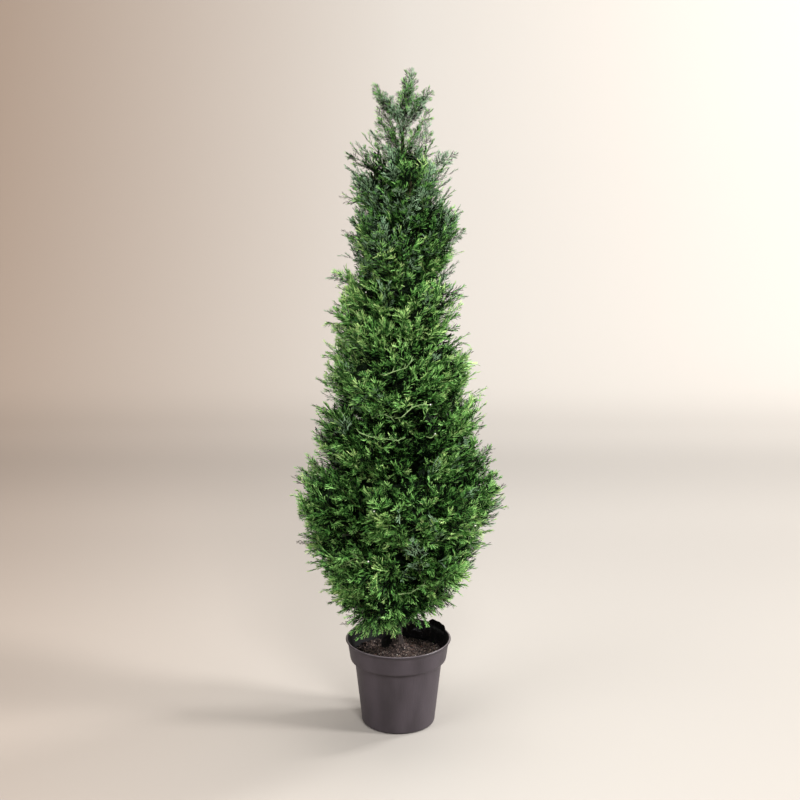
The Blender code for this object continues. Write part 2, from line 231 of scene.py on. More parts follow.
class ShaderGroups:
    """The node groups that the finishes share, each built once."""

    MOTTLE = "mottled_colour"
    RELIEF = "fine_relief"
    KINDS = {4: "NodeSocketColor", 3: "NodeSocketVector"}  # by how many numbers a value has

    @classmethod
    def _start(cls, name: str, inputs: dict, outputs: dict) -> tuple:
        """Makes an empty group with named sockets.

        Args:
            name: the group's name.
            inputs: each input's name and default value.
            outputs: each output's name and socket type.

        Returns:
            The group, the outputs of its input node, and its output node.
        """
        group = bpy.data.node_groups.new(name, "ShaderNodeTree")
        for label, value in inputs.items():
            kind = "NodeSocketFloat" if isinstance(value, float) else cls.KINDS[len(value)]
            socket = group.interface.new_socket(name=label, in_out="INPUT", socket_type=kind)
            socket.default_value = value
        for label, kind in outputs.items():
            group.interface.new_socket(name=label, in_out="OUTPUT", socket_type=kind)
        return group, group.nodes.new("NodeGroupInput").outputs, group.nodes.new("NodeGroupOutput")

    @classmethod
    def mottle(cls) -> bpy.types.NodeTree:
        """Soft patches between two colours, with small flecks of a third.

        Returns:
            The group, with outputs Color and Mask.
        """
        if cls.MOTTLE in bpy.data.node_groups:
            return bpy.data.node_groups[cls.MOTTLE]
        grey = (0.5, 0.5, 0.5, 1.0)
        inputs = {
            "Light": grey, "Dark": grey, "Scale": 40.0, "Stretch": (1.0, 1.0, 1.0), "Contrast": 2.0,
            "Fleck": grey, "Fleck Scale": 400.0, "Fleck Amount": 0.0,
        }
        outputs = {"Color": "NodeSocketColor", "Mask": "NodeSocketFloat"}
        group, given, made = cls._start(cls.MOTTLE, inputs, outputs)
        place = add_node(group, "TexCoord", {})["Object"]
        drawn = add_node(group, "Mapping", {"Vector": place, "Scale": given["Stretch"]})["Vector"]
        patches = add_node(group, "TexNoise", {"Detail": 4.0, "Vector": drawn, "Scale": given["Scale"]})
        centred = add_node(group, "Math", {0: patches["Fac"], 1: 0.5}, operation="SUBTRACT")
        steeper = {0: centred[0], 1: given["Contrast"], 2: 0.5}
        mask = add_node(group, "Math", steeper, operation="MULTIPLY_ADD", use_clamp=True)[0]
        mixed = {"Factor": mask, "A": given["Dark"], "B": given["Light"]}
        blend = add_node(group, "Mix", mixed, data_type="RGBA")
        specks = add_node(group, "TexVoronoi", {"Vector": place, "Scale": given["Fleck Scale"]})
        pick = add_node(group, "SeparateColor", {"Color": specks["Color"]})
        few = {0: pick["Red"], 1: given["Fleck Amount"]}
        chosen = add_node(group, "Math", few, operation="LESS_THAN")
        mixed = {"Factor": chosen[0], "A": blend["Result"], "B": given["Fleck"]}
        flecked = add_node(group, "Mix", mixed, data_type="RGBA")
        feed(group, made, {"Color": flecked["Result"], "Mask": mask})
        return group

    @classmethod
    def relief(cls) -> bpy.types.NodeTree:
        """Fine uneven relief, drawn out along any axis.

        Returns:
            The group, with the output Height, from 0 to 1.
        """
        if cls.RELIEF in bpy.data.node_groups:
            return bpy.data.node_groups[cls.RELIEF]
        inputs = {"Scale": 400.0, "Stretch": (1.0, 1.0, 1.0)}
        group, given, made = cls._start(cls.RELIEF, inputs, {"Height": "NodeSocketFloat"})
        place = add_node(group, "TexCoord", {})["Object"]
        drawn = add_node(group, "Mapping", {"Vector": place, "Scale": given["Stretch"]})["Vector"]
        shaped = {"Detail": 5.0, "Roughness": 0.62, "Vector": drawn, "Scale": given["Scale"]}
        feed(group, made, {"Height": add_node(group, "TexNoise", shaped)["Fac"]})
        return group


@dataclass(frozen=True)
class Finish:
    """A surface: two colours in soft patches, flecks, a range of roughness and a fine relief."""

    name: str
    light: Triple
    dark: Triple
    scale: float
    contrast: float = 2.0
    stretch: Triple = (1.0, 1.0, 1.0)
    roughness: Range = (0.45, 0.60)
    relief_scale: float = 500.0
    relief_depth: float = 0.0002
    specular: float = 0.5
    fleck: Triple = (128, 128, 128)
    fleck_scale: float = 500.0
    fleck_amount: float = 0.0

    def material(self) -> bpy.types.Material:
        """Builds the material, or finds it if it is there already.

        Returns:
            The material.
        """
        if self.name in bpy.data.materials:
            return bpy.data.materials[self.name]
        tree, shader, material = new_material(self.name)
        colours = {
            "Light": linear(self.light), "Dark": linear(self.dark), "Scale": self.scale,
            "Stretch": self.stretch, "Contrast": self.contrast, "Fleck": linear(self.fleck),
            "Fleck Scale": self.fleck_scale, "Fleck Amount": self.fleck_amount,
        }
        mottle = add_node(tree, "Group", colours, node_tree=ShaderGroups.mottle())
        ends = {"To Min": self.roughness[0], "To Max": self.roughness[1], "Value": mottle["Mask"]}
        gloss = add_node(tree, "MapRange", ends)
        sizes = {"Scale": self.relief_scale, "Stretch": self.stretch}
        relief = add_node(tree, "Group", sizes, node_tree=ShaderGroups.relief())
        bump = add_node(tree, "Bump", {"Distance": self.relief_depth, "Height": relief["Height"]})
        feed(tree, shader, {
            "Specular IOR Level": self.specular, "Base Color": mottle["Color"],
            "Roughness": gloss["Result"], "Normal": bump["Normal"],
        })
        return material


TONE_COLOURS = {  # light and dark colour, and how much of the light the plastic mirrors
    # the inner tone is near-black: painted shade for the crown's heart and its shaded shoots
    Tone.INNER: ((11, 26, 10), (5, 13, 5), 0.08),
    Tone.DEEP: ((61, 110, 45), (31, 68, 28), 0.22),
    Tone.MID: ((122, 177, 88), (65, 123, 54), 0.22),
    Tone.FRESH: ((171, 216, 128), (107, 171, 85), 0.22),
    Tone.LIME: ((205, 229, 152), (152, 199, 109), 0.22),
    Tone.SLATE: ((148, 178, 142), (88, 122, 91), 0.22),
    Tone.TWIG: ((84, 98, 52), (46, 56, 30), 0.22),
    Tone.BARE: ((70, 70, 58), (34, 34, 28), 0.22),
}
TONES = {
    tone: Finish(
        f"cedar_plastic_{tone.value}", light, dark, scale=240.0, contrast=4.0, roughness=(0.46, 0.64),
        relief_scale=900.0, relief_depth=0.0004, specular=shine,
    )
    for tone, (light, dark, shine) in TONE_COLOURS.items()
}
POT_PLASTIC = Finish(
    "dark_pot_plastic", (66, 59, 64), (52, 46, 50), scale=26.0, contrast=3.2, stretch=(1.0, 1.0, 0.35),
    roughness=(0.48, 0.62), relief_scale=260.0, relief_depth=0.0003, specular=0.30,
)
# the pot's inner wall: a near-black finish, painted shade
POT_INSIDE_SHADE = Finish(
    "pot_inside_painted_shade", (17, 15, 16), (9, 8, 9), scale=60.0, contrast=2.4, roughness=(0.6, 0.8),
    relief_scale=260.0, relief_depth=0.0004, specular=0.25,
)
# the lip's top edge: a lighter finish, a painted highlight
POT_LIP_HIGHLIGHT = Finish(
    "pot_lip_painted_highlight", (104, 95, 98), (66, 59, 63), scale=60.0, contrast=3.0, roughness=(0.28, 0.42),
    relief_scale=260.0,
)
SOIL_CRUST = Finish(
    "coarse_soil", (64, 54, 52), (22, 18, 18), scale=120.0, contrast=3.2, roughness=(0.85, 1.0),
    relief_scale=520.0, relief_depth=0.0022, specular=0.2,
    fleck=(104, 90, 84), fleck_scale=420.0, fleck_amount=0.08,
)
SOIL_CRUMB = Finish(
    "soil_crumb", (108, 93, 86), (38, 31, 29), scale=220.0, contrast=4.0, roughness=(0.8, 1.0),
    relief_scale=900.0, relief_depth=0.001, specular=0.2,
)
# the clod beside the trunk: a near-black finish, painted shade
CLOD_SHADE = Finish(
    "clod_painted_shade", (27, 25, 24), (10, 10, 9), scale=160.0, contrast=3.6, roughness=(0.75, 0.95),
    relief_scale=520.0, relief_depth=0.0022, specular=0.2,
)
RED_BARK_CHIP = Finish(
    "red_bark_chip", (112, 80, 68), (64, 44, 38), scale=200.0, contrast=4.0, roughness=(0.7, 0.9),
    relief_scale=900.0, relief_depth=0.001, specular=0.3,
)
PALE_GRIT = Finish(
    "pale_grit", (214, 206, 194), (160, 150, 138), scale=300.0, contrast=3.0, roughness=(0.6, 0.9),
    relief_scale=900.0, relief_depth=0.0008, specular=0.3,
)
BLACK_FILM = Finish(
    "black_film", (17, 17, 19), (8, 8, 10), scale=40.0, roughness=(0.12, 0.30),
    relief_scale=180.0, relief_depth=0.0012, specular=0.55,
)
TRUNK_BARK = Finish(
    "grey_brown_bark", (74, 64, 60), (28, 23, 21), scale=150.0, contrast=4.0, stretch=(1.0, 1.0, 0.4),
    roughness=(0.75, 0.95), relief_scale=420.0, relief_depth=0.0016, specular=0.25,
    fleck=(120, 108, 98), fleck_scale=420.0, fleck_amount=0.10,
)
LIMB_BARK = Finish(
    "olive_limb_bark", (92, 86, 56), (50, 46, 32), scale=170.0, contrast=3.6, stretch=(1.0, 1.0, 0.6),
    roughness=(0.7, 0.9), relief_scale=520.0, relief_depth=0.001, specular=0.3,
)
PALE_STEM = Finish(
    "pale_green_stem", (140, 166, 108), (88, 118, 66), scale=120.0, contrast=3.0, roughness=(0.42, 0.6),
    relief_scale=600.0, relief_depth=0.0004, specular=0.4,
)
CUT_END = Finish(
    "white_cut_end", (236, 236, 226), (206, 208, 196), scale=300.0, roughness=(0.4, 0.6), relief_scale=800.0
)


def add_piece(
    name: str, mesh: bpy.types.Mesh, finish: Finish, stands_for: list[str]
) -> bpy.types.Object:
    """Makes a finished mesh a piece of the plant.

    Args:
        name: the piece's name.
        mesh: its mesh, in place.
        finish: its surface.
        stands_for: the CAD nodes that it replaces, if any.

    Returns:
        The piece's object.
    """
    piece = bpy.data.objects.new(name, mesh)
    bpy.context.scene.collection.objects.link(piece)
    mesh.materials.append(finish.material())
    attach(piece, BODY)
    if stands_for:
        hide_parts(*stands_for)
    mesh.calc_loop_triangles()
    log.info("%s: %d triangles", name, len(mesh.loop_triangles))
    return piece


def mesh_of(name: str, shape: bmesh.types.BMesh, sharp_degrees: float = 60.0) -> bpy.types.Mesh:
    """Writes a bmesh to a new smooth mesh and frees it.

    Args:
        name: the mesh's name.
        shape: the bmesh.
        sharp_degrees: edges that bend more than this stay sharp.

    Returns:
        The mesh.
    """
    bmesh.ops.recalc_face_normals(shape, faces=shape.faces)
    mesh = bpy.data.meshes.new(name)
    shape.to_mesh(mesh)
    shape.free()
    mesh.shade_smooth()
    mesh.set_sharp_from_angle(angle=math.radians(sharp_degrees))
    return mesh


def mesh_from_arrays(name: str, places: np.ndarray, faces: np.ndarray) -> bpy.types.Mesh:
    """Makes one mesh of many small repeated shapes.

    Args:
        name: the mesh's name.
        places: vertex places, one row each.
        faces: vertex numbers, one row a face, all with as many corners.

    Returns:
        The mesh.
    """
    mesh = bpy.data.meshes.new(name)
    mesh.vertices.add(len(places))
    mesh.vertices.foreach_set("co", places.astype(np.float32).ravel())
    mesh.loops.add(faces.size)
    mesh.loops.foreach_set("vertex_index", faces.astype(np.int32).ravel())
    mesh.polygons.add(len(faces))
    mesh.polygons.foreach_set("loop_start", np.arange(0, faces.size, faces.shape[1], dtype=np.int32))
    mesh.update(calc_edges=True)
    return mesh


def repeated(faces: np.ndarray, copies: int, corners: int) -> np.ndarray:
    """Numbers the faces of many copies of one shape, each with so many vertices."""
    return (faces[None] + (np.arange(copies) * corners)[:, None, None]).reshape(-1, faces.shape[1])


def rods(
    starts: np.ndarray, ends: np.ndarray, start_radii: np.ndarray, end_radii: np.ndarray, sides: int
) -> tuple[np.ndarray, np.ndarray]:
    """Straight tapered rods, as open prisms whose ends sit in their neighbours.

    Args:
        starts: where each rod starts.
        ends: where each ends.
        start_radii: the radii at the starts.
        end_radii: the radii at the ends.
        sides: how many sides a rod has.

    Returns:
        Vertices and four-cornered faces.
    """
    along = ends - starts
    along /= np.maximum(np.linalg.norm(along, axis=1, keepdims=True), 1e-9)
    aside = np.where(np.abs(along[:, 2:3]) > 0.9, np.array((1.0, 0.0, 0.0)), UP)
    side = np.cross(aside, along)
    side /= np.linalg.norm(side, axis=1, keepdims=True)
    other = np.cross(along, side)
    angles = (np.arange(sides) * (FULL_TURN / sides))[None, :, None]
    round_way = np.cos(angles) * side[:, None, :] + np.sin(angles) * other[:, None, :]
    low = starts[:, None, :] + round_way * start_radii[:, None, None]
    high = ends[:, None, :] + round_way * end_radii[:, None, None]
    corner = np.arange(sides)
    after = (corner + 1) % sides
    face = np.stack((corner, after, after + sides, corner + sides), axis=1)
    return np.concatenate((low, high), axis=1).reshape(-1, 3), repeated(face, len(starts), 2 * sides)


def chained(shape: bmesh.types.BMesh, places: list[Triple]) -> tuple[list, list]:
    """Adds a line of vertices to a bmesh, and gives the vertices and the edges between them."""
    verts = [shape.verts.new(place) for place in places]
    return verts, [shape.edges.new(pair) for pair in zip(verts, verts[1:])]


def spun(profile: list[Range], steps: int) -> bmesh.types.BMesh:
    """Spins an outline once round the upright axis.

    Args:
        profile: radius and height of each point.
        steps: how many steps the turn takes.

    Returns:
        The closed shape.
    """
    shape = bmesh.new()
    verts, edges = chained(shape, [(radius, 0.0, height) for radius, height in profile])
    bmesh.ops.spin(
        shape, geom=verts + edges, cent=(0, 0, 0), axis=(0, 0, 1), angle=FULL_TURN, steps=steps,
        use_merge=True,
    )
    bmesh.ops.remove_doubles(shape, verts=shape.verts, dist=MERGE)
    return shape


def sweep(
    shape: bmesh.types.BMesh, path: list[Vector], radii: list[float], sides: int
) -> list[list[bmesh.types.BMVert]]:
    """Sweeps a round section along a path, closed at both ends.

    Args:
        shape: the bmesh that it is added to.
        path: the places of the section.
        radii: the section's radius at each place.
        sides: how many sides the section has.

    Returns:
        The vertices of each ring, from first to last.
    """
    frames = []
    for index, place in enumerate(path):
        ahead = path[min(index + 1, len(path) - 1)] - path[max(index - 1, 0)]
        turn = Vector((0.0, 0.0, 1.0)).rotation_difference(ahead.normalized()).to_matrix().to_4x4()
        frames.append(Matrix.Translation(place) @ turn @ Matrix.Scale(radii[index], 4))
    made = bmesh.ops.create_circle(shape, cap_ends=True, segments=sides, radius=1.0, matrix=frames[0])
    rings = [made["verts"]]
    edges = list({edge for vert in made["verts"] for edge in vert.link_edges})
    for before, after in zip(frames, frames[1:]):
        grown = bmesh.ops.extrude_edge_only(shape, edges=edges)["geom"]
        ring = [item for item in grown if isinstance(item, bmesh.types.BMVert)]
        held = set(ring)
        bmesh.ops.transform(shape, matrix=after @ before.inverted(), verts=ring)
        edges = [
            item for item in grown
            if isinstance(item, bmesh.types.BMEdge) and all(vert in held for vert in item.verts)
        ]
        rings.append(ring)
    bmesh.ops.contextual_create(shape, geom=edges)
    return rings


def resampled(path: list[Vector], step: float) -> list[Vector]:
    """Puts evenly spaced places along a path.

    Args:
        path: the path's places.
        step: about how far apart the new ones are.

    Returns:
        The new places, with the path's own two ends.
    """
    places = np.array([tuple(place) for place in path])
    run = np.concatenate(((0.0,), np.cumsum(np.linalg.norm(np.diff(places, axis=0), axis=1))))
    count = max(2, int(run[-1] / step) + 1)
    return [Vector(place_at(at, run, places)) for at in np.linspace(0.0, run[-1], count)]


@dataclass
class NurseryPot:
    """The plain tapered pot: a rolled lip, a wide band, a shoulder and a foot ring."""

    steps: int = 112
    lip_radius: float = field(default_factory=lambda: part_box(POT)[1].x)
    height: float = field(default_factory=lambda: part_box(POT)[1].z)
    lip_depth: float = 0.0078
    band_top: float = 0.0943
    band_foot: float = 0.0903
    band_depth: float = 0.0378
    shoulder: float = 0.0816
    shoulder_drop: float = 0.0058
    foot: float = 0.0680
    foot_edge: float = 0.0040
    recess: float = 0.0020
    wall: float = 0.0022
    corner_cuts: int = 4  # of each rounded corner
    highlight_band_depth: float = 0.0007  # of the lighter band along the lip's top, a painted highlight
    waver: float = 0.00028  # how far the thin wall wanders from round

    def profile(self) -> list[Triple]:
        """The pot's section, from the middle of its underside, up outside and down inside.

        Returns:
            Radius, height and corner rounding of each point.
        """
        band_low = self.height - self.band_depth
        neck = band_low - self.shoulder_drop
        under_lip = self.height - self.lip_depth
        return [
            (0.0, self.recess, 0.0),
            (self.foot - 0.012, self.recess, 0.0008),
            (self.foot - 0.010, 0.0, 0.0008),
            (self.foot - self.foot_edge, 0.0, 0.0012),
            (self.foot + 0.0004, self.foot_edge, 0.0012),
            (self.shoulder, neck, 0.0016),
            (self.band_foot - 0.0008, band_low - 0.0022, 0.0014),
            (self.band_foot, band_low + 0.0014, 0.0012),
            (self.band_top, under_lip, 0.0012),
            (self.lip_radius - 0.0006, under_lip + 0.0048, 0.0012),
            (self.lip_radius, self.height - 0.0024, 0.0012),
            (self.lip_radius - 0.0012, self.height, 0.0009),
            (self.lip_radius - self.wall - 0.0008, self.height - 0.0002, 0.0009),
            (self.band_top - self.wall, under_lip, 0.0015),
            (self.band_foot - self.wall, band_low, 0.0015),
            (self.shoulder - self.wall, neck, 0.0015),
            (self.foot - self.wall, self.recess + self.wall, 0.0015),
            (0.0, self.recess + self.wall, 0.0),
        ]

    def inner_radius(self, height: float) -> float:
        """The radius of the pot's inner wall at a height."""
        inside = sorted((z, r) for r, z, _ in self.profile()[-6:-1])
        return float(np.interp(height, [z for z, _ in inside], [r for _, r in inside]))

    def rounded(self) -> list[Range]:
        """Rounds the corners of the section.

        Returns:
            Radius and height of each point, with an arc at each rounded corner.
        """
        points, made = self.profile(), []
        for index, (across, up, reach) in enumerate(points):
            corner = np.array((across, up))
            if reach <= 0.0 or index in (0, len(points) - 1):
                made.append((across, up))
                continue
            before = unit(np.array(points[index - 1][:2]) - corner) * reach
            after = unit(np.array(points[index + 1][:2]) - corner) * reach
            for cut in range(self.corner_cuts + 1):
                share = cut / self.corner_cuts
                place = corner + before * (1.0 - share) ** 2 + after * share**2
                made.append((float(place[0]), float(place[1])))
        return made

    def build(self) -> bpy.types.Object:
        """Spins the section into the pot and lets its wall waver a little.

        Returns:
            The pot.
        """
        shape = spun(self.rounded(), self.steps)
        for vert in shape.verts:
            aside = vert.co.xy.length
            if vert.co.z > 0.012 and aside > 0.02:
                drift = noise.noise(vert.co * 14.0) * self.waver * smooth_step(vert.co.z / 0.06)
                vert.co.xy *= 1.0 + drift / aside
        mesh = mesh_of("nursery_pot", shape, 50.0)
        pot = add_piece("nursery_pot", mesh, POT_PLASTIC, [POT])
        mesh.materials.append(POT_INSIDE_SHADE.material())
        mesh.materials.append(POT_LIP_HIGHLIGHT.material())
        for face in mesh.polygons:
            inward = face.normal.xy.dot(face.center.xy) < 0.0 or face.normal.z > 0.9
            # a thin band along the lip's top takes the lighter finish, a painted highlight
            if face.center.z > self.height - self.highlight_band_depth:
                face.material_index = 2
            # inward faces below the lip take the near-black finish, painted shade
            elif inward and self.foot_edge / 4.0 < face.center.z < self.height - 0.003:
                face.material_index = 1
        return pot


@dataclass
class SoilBed:
    """Coarse soil: a lumpy mound round the trunk, with crumbs, bark chips and pale grit on it."""

    pot: NurseryPot
    level: float = 0.132
    mound: float = 0.013
    seat: float = 0.017
    mound_foot: float = 0.052
    depth: float = 0.016
    rings: int = 44
    steps: int = 150
    lump: float = 0.0034
    collar: float = 0.013  # how far the soil is drawn up round the trunk's foot
    collar_from: float = 0.009
    collar_width: float = 0.014
    clod_place: Triple = (-0.0205, 0.010, 0.1525)
    clod_size: Triple = (0.0105, 0.0085, 0.0150)

    # name, finish, count, least and greatest radius, and shares of it along the three axes
    LOOSE = (
        ("soil_crumbs", SOIL_CRUMB, 1900, (0.0007, 0.0034), (1.0, 0.8, 0.7)),
        ("bark_chips", RED_BARK_CHIP, 130, (0.0010, 0.0028), (1.9, 0.8, 0.45)),
        ("pale_grit", PALE_GRIT, 260, (0.0005, 0.0014), (1.0, 0.9, 0.8)),
    )
    CHIP_LENGTH = 1.5  # bits longer than this, as a share of their radius, lie flat

    def height(self, across: float, away: float) -> float:
        """The height of the soil above the floor at a place, given its x and y."""
        radius = math.hypot(across, away)
        share = min(max((radius - self.seat) / (self.mound_foot - self.seat), 0.0), 1.0)
        rise = self.mound * (1.0 - share**1.5)
        rise += self.collar * (1.0 - smooth_step((radius - self.collar_from) / self.collar_width))
        place = Vector((across, away, 0.0))
        rough = noise.fractal(place * 60.0, 0.9, 2.2, 4) * self.lump
        clods = max(0.0, noise.noise(place * 130.0)) * self.lump * 0.9
        return self.level - 0.001 + rise + rough + clods

    def build(self, seed: int = 4) -> list[bpy.types.Object]:
        """Builds the bed, strews the loose bits on it and sets the near-black clod beside the trunk, its
        colour painted shade.

        Args:
            seed: starts the random draws.

        Returns:
            The bed and the loose pieces.
        """
        rng = np.random.default_rng(seed)
        edge = self.pot.inner_radius(self.level) - 0.0003
        profile = [(0.0, self.level)]
        profile += [(edge * (ring + 1) / self.rings, self.level) for ring in range(self.rings)]
        for drop in (0.004, 0.010, self.depth):
            profile.append((self.pot.inner_radius(self.level - drop) - 0.0006, self.level - drop))
        profile.append((0.0, self.level - self.depth))
        shape = spun(profile, self.steps)
        for vert in shape.verts:
            if vert.co.z > self.level - 0.001:
                vert.co.z = self.height(vert.co.x, vert.co.y)
        made = [add_piece("soil_bed", mesh_of("soil_bed", shape, 40.0), SOIL_CRUST, [SOIL])]
        made += [self.strew(rng, edge, *kind) for kind in self.LOOSE]
        clod = bmesh.new()
        bmesh.ops.create_icosphere(clod, subdivisions=4, radius=1.0)
        for vert in clod.verts:
            swell = 1.0 + 0.34 * noise.fractal(vert.co * 1.7, 0.9, 2.2, 4)
            vert.co = Vector(self.clod_place) + Vector(self.clod_size) * vert.co * swell
        return [*made, add_piece("shade_clod", mesh_of("shade_clod", clod), CLOD_SHADE, [])]

    def strew(
        self, rng: np.random.Generator, edge: float, name: str, finish: Finish, count: int,
        sizes: Range, squash: Triple,
    ) -> bpy.types.Object:
        """Strews small uneven lumps over the bed.

        Args:
            rng: the random draws.
            edge: how far out they may lie.
            name: the piece's name.
            finish: its surface.
            count: how many lumps.
            sizes: the least and greatest radius of a lump.
            squash: a lump's shares of its size along its three axes.

        Returns:
            The joined piece.
        """
        lump = bmesh.new()
        bmesh.ops.create_icosphere(lump, subdivisions=1, radius=1.0)
        for vert in lump.verts:
            vert.co *= 1.0 + 0.35 * noise.noise(vert.co * 2.3 + Vector((sizes[1] * 900.0, 0, 0)))
        places = np.array([tuple(vert.co) for vert in lump.verts])
        faces = np.array([[vert.index for vert in face.verts] for face in lump.faces])
        lump.free()
        frames, origins = np.empty((count, 3, 3)), np.empty((count, 3))
        for index in range(count):
            angle = rng.uniform(0.0, FULL_TURN)
            radius = (edge - sizes[1] * 1.4) * math.sqrt(rng.uniform(0.02, 1.0))
            size = sizes[0] + (sizes[1] - sizes[0]) * rng.uniform() ** 2.5
            across, away = radius * math.cos(angle), radius * math.sin(angle)
            axis = Vector(rng.normal(size=3)).normalized()
            turn = np.array(Matrix.Rotation(rng.uniform(0.0, FULL_TURN), 3, axis))
            lean = np.array(Matrix.Rotation(rng.uniform(0.0, FULL_TURN), 3, "Z"))
            tilt = turn if squash[0] < self.CHIP_LENGTH else lean
            frames[index] = tilt @ np.diag(np.array(squash) * size)
            origins[index] = (across, away, self.height(across, away) + size * 0.25)
        moved = np.einsum("kij,nj->kni", frames, places) + origins[:, None, :]
        mesh = mesh_from_arrays(name, moved.reshape(-1, 3), repeated(faces, count, len(places)))
        return add_piece(name, mesh, finish, [])


@dataclass
class LinerFilm:
    """The crumpled black film that stands up behind the soil, back right."""

    pot: NurseryPot
    start_degrees: float = 15.0
    end_degrees: float = 91.0
    peak_degrees: float = 32.0
    peak_spread: float = 17.0
    peak_rise: float = 0.0115
    foot: float = 0.1325
    thickness: float = 0.0005
    columns: int = 90
    rows: int = 26
    crumple: float = 0.0018

    def top(self, degrees: float) -> float:
        """The height of the film's upper edge in a direction."""
        away = (degrees - self.peak_degrees) / self.peak_spread
        torn = 0.0012 * noise.noise(Vector((degrees * 0.22, 3.0, 0.0)))
        return self.pot.height - 0.001 + self.peak_rise * math.exp(-0.5 * away**8) + torn

    def build(self) -> bpy.types.Object:
        """Bends a fine sheet along the pot's wall and crumples it.

        Returns:
            The film.
        """
        shape = bmesh.new()
        bmesh.ops.create_grid(shape, x_segments=self.columns, y_segments=self.rows, size=0.5)
        for vert in shape.verts:
            along, up = vert.co.x + 0.5, vert.co.y + 0.5
            degrees = self.start_degrees + (self.end_degrees - self.start_degrees) * along
            height = self.foot + (self.top(degrees) - self.foot) * up
            wall = self.pot.inner_radius(min(height, self.pot.height - 0.003)) - 0.0012
            place = Vector((along * 6.5, up * 2.4, 1.7))
            fold = abs(noise.noise(place)) + 0.5 * abs(noise.noise(place * 2.7))
            inward = self.crumple * fold * smooth_step(up * 2.0) + 0.0006 * smooth_step(up)
            angle = math.radians(degrees)
            vert.co = Vector(((wall - inward) * math.cos(angle), (wall - inward) * math.sin(angle), height))
        piece = add_piece("black_film", mesh_of("black_film", shape, 30.0), BLACK_FILM, [FILM])
        wall = piece.modifiers.new("thickness", "SOLIDIFY")
        wall.thickness = self.thickness
        wall.offset = 0.0
        return piece


@dataclass
class Trunk:
    """The slim trunk: the CAD trunk's line and taper, with the relief of its bark."""

    sides: int = 22
    ring_step: float = 0.0055
    ridge: float = 0.0010
    knot: float = 0.0008
    flare_height: float = 0.034
    flare_lobes: int = 5
    sunk: float = 0.006  # how far its foot goes into the loose soil
    ring_gap: float = 0.002  # the CAD trunk's rings lie further apart than this
    low: float = field(init=False)
    high: float = field(init=False)
    centres: np.ndarray = field(init=False)
    radii: np.ndarray = field(init=False)

    def __post_init__(self) -> None:
        """Reads the rings of the CAD trunk: their heights, centres and radii."""
        places = node_places(TRUNK)
        places = places[np.argsort(places[:, 2])]
        rings = np.split(places, np.flatnonzero(np.diff(places[:, 2]) > self.ring_gap) + 1)
        self.centres = np.array([(ring.max(axis=0) + ring.min(axis=0)) / 2.0 for ring in rings])
        self.radii = np.array([np.ptp(ring[:, 0]) / 2.0 for ring in rings])
        self.low, self.high = float(places[0, 2]), float(places[-1, 2])

    def section(self, height: float) -> tuple[Vector, float]:
        """Reads the CAD trunk at a height.

        Args:
            height: metres above the floor; past the trunk's ends, the end's own section is taken.

        Returns:
            The centre and the radius.
        """
        levels = self.centres[:, 2]
        across, away = (float(np.interp(height, levels, self.centres[:, axis])) for axis in (0, 1))
        return Vector((across, away, height)), float(np.interp(height, levels, self.radii))

    def axis_at(self, height: float) -> np.ndarray:
        """The trunk's centre at a height, as an array; above its tip, the tip's own is taken."""
        return np.array(self.section(min(height, self.high))[0])

    def out_to(self, place: np.ndarray) -> np.ndarray:
        """The level way from the trunk's centre out to a place."""
        return (place - self.axis_at(place[2])) * LEVEL

    def bark(self, angle: float, height: float) -> float:
        """How far the bark stands out from the trunk's plain surface, in metres."""
        place = Vector((math.cos(angle) * 2.2, math.sin(angle) * 2.2, height * 34.0))
        crack = 1.0 - 2.0 * abs(noise.noise(place * 1.3))
        lump = noise.noise(Vector((place.x * 0.6, place.y * 0.6, height * 70.0)) + Vector((7.0, 0.0, 0.0)))
        return self.ridge * 0.6 * crack + self.knot * lump

    def build(self) -> bpy.types.Object:
        """Sweeps the trunk from its foot in the soil to its tip and raises the bark.

        Returns:
            The trunk.
        """
        start = self.low - self.sunk
        count = int((self.high - start) / self.ring_step) + 1
        heights = [start + (self.high - start) * index / (count - 1) for index in range(count)]
        centres, radii = zip(*(self.section(height) for height in heights))
        shape = bmesh.new()
        for ring, centre, radius in zip(sweep(shape, centres, radii, self.sides), centres, radii):
            flare = max(0.0, 1.0 - (centre.z - self.low) / self.flare_height)
            for vert in ring:
                out = vert.co - centre
                angle = math.atan2(out.y, out.x)
                lobe = 0.10 * flare * radius * math.cos(self.flare_lobes * angle + 0.7)
                share = min(radius / 0.006, 1.0)
                vert.co += out.normalized() * (self.bark(angle, centre.z) * share + lobe)
        return add_piece("trunk_bark", mesh_of("trunk_bark", shape), TRUNK_BARK, [TRUNK])


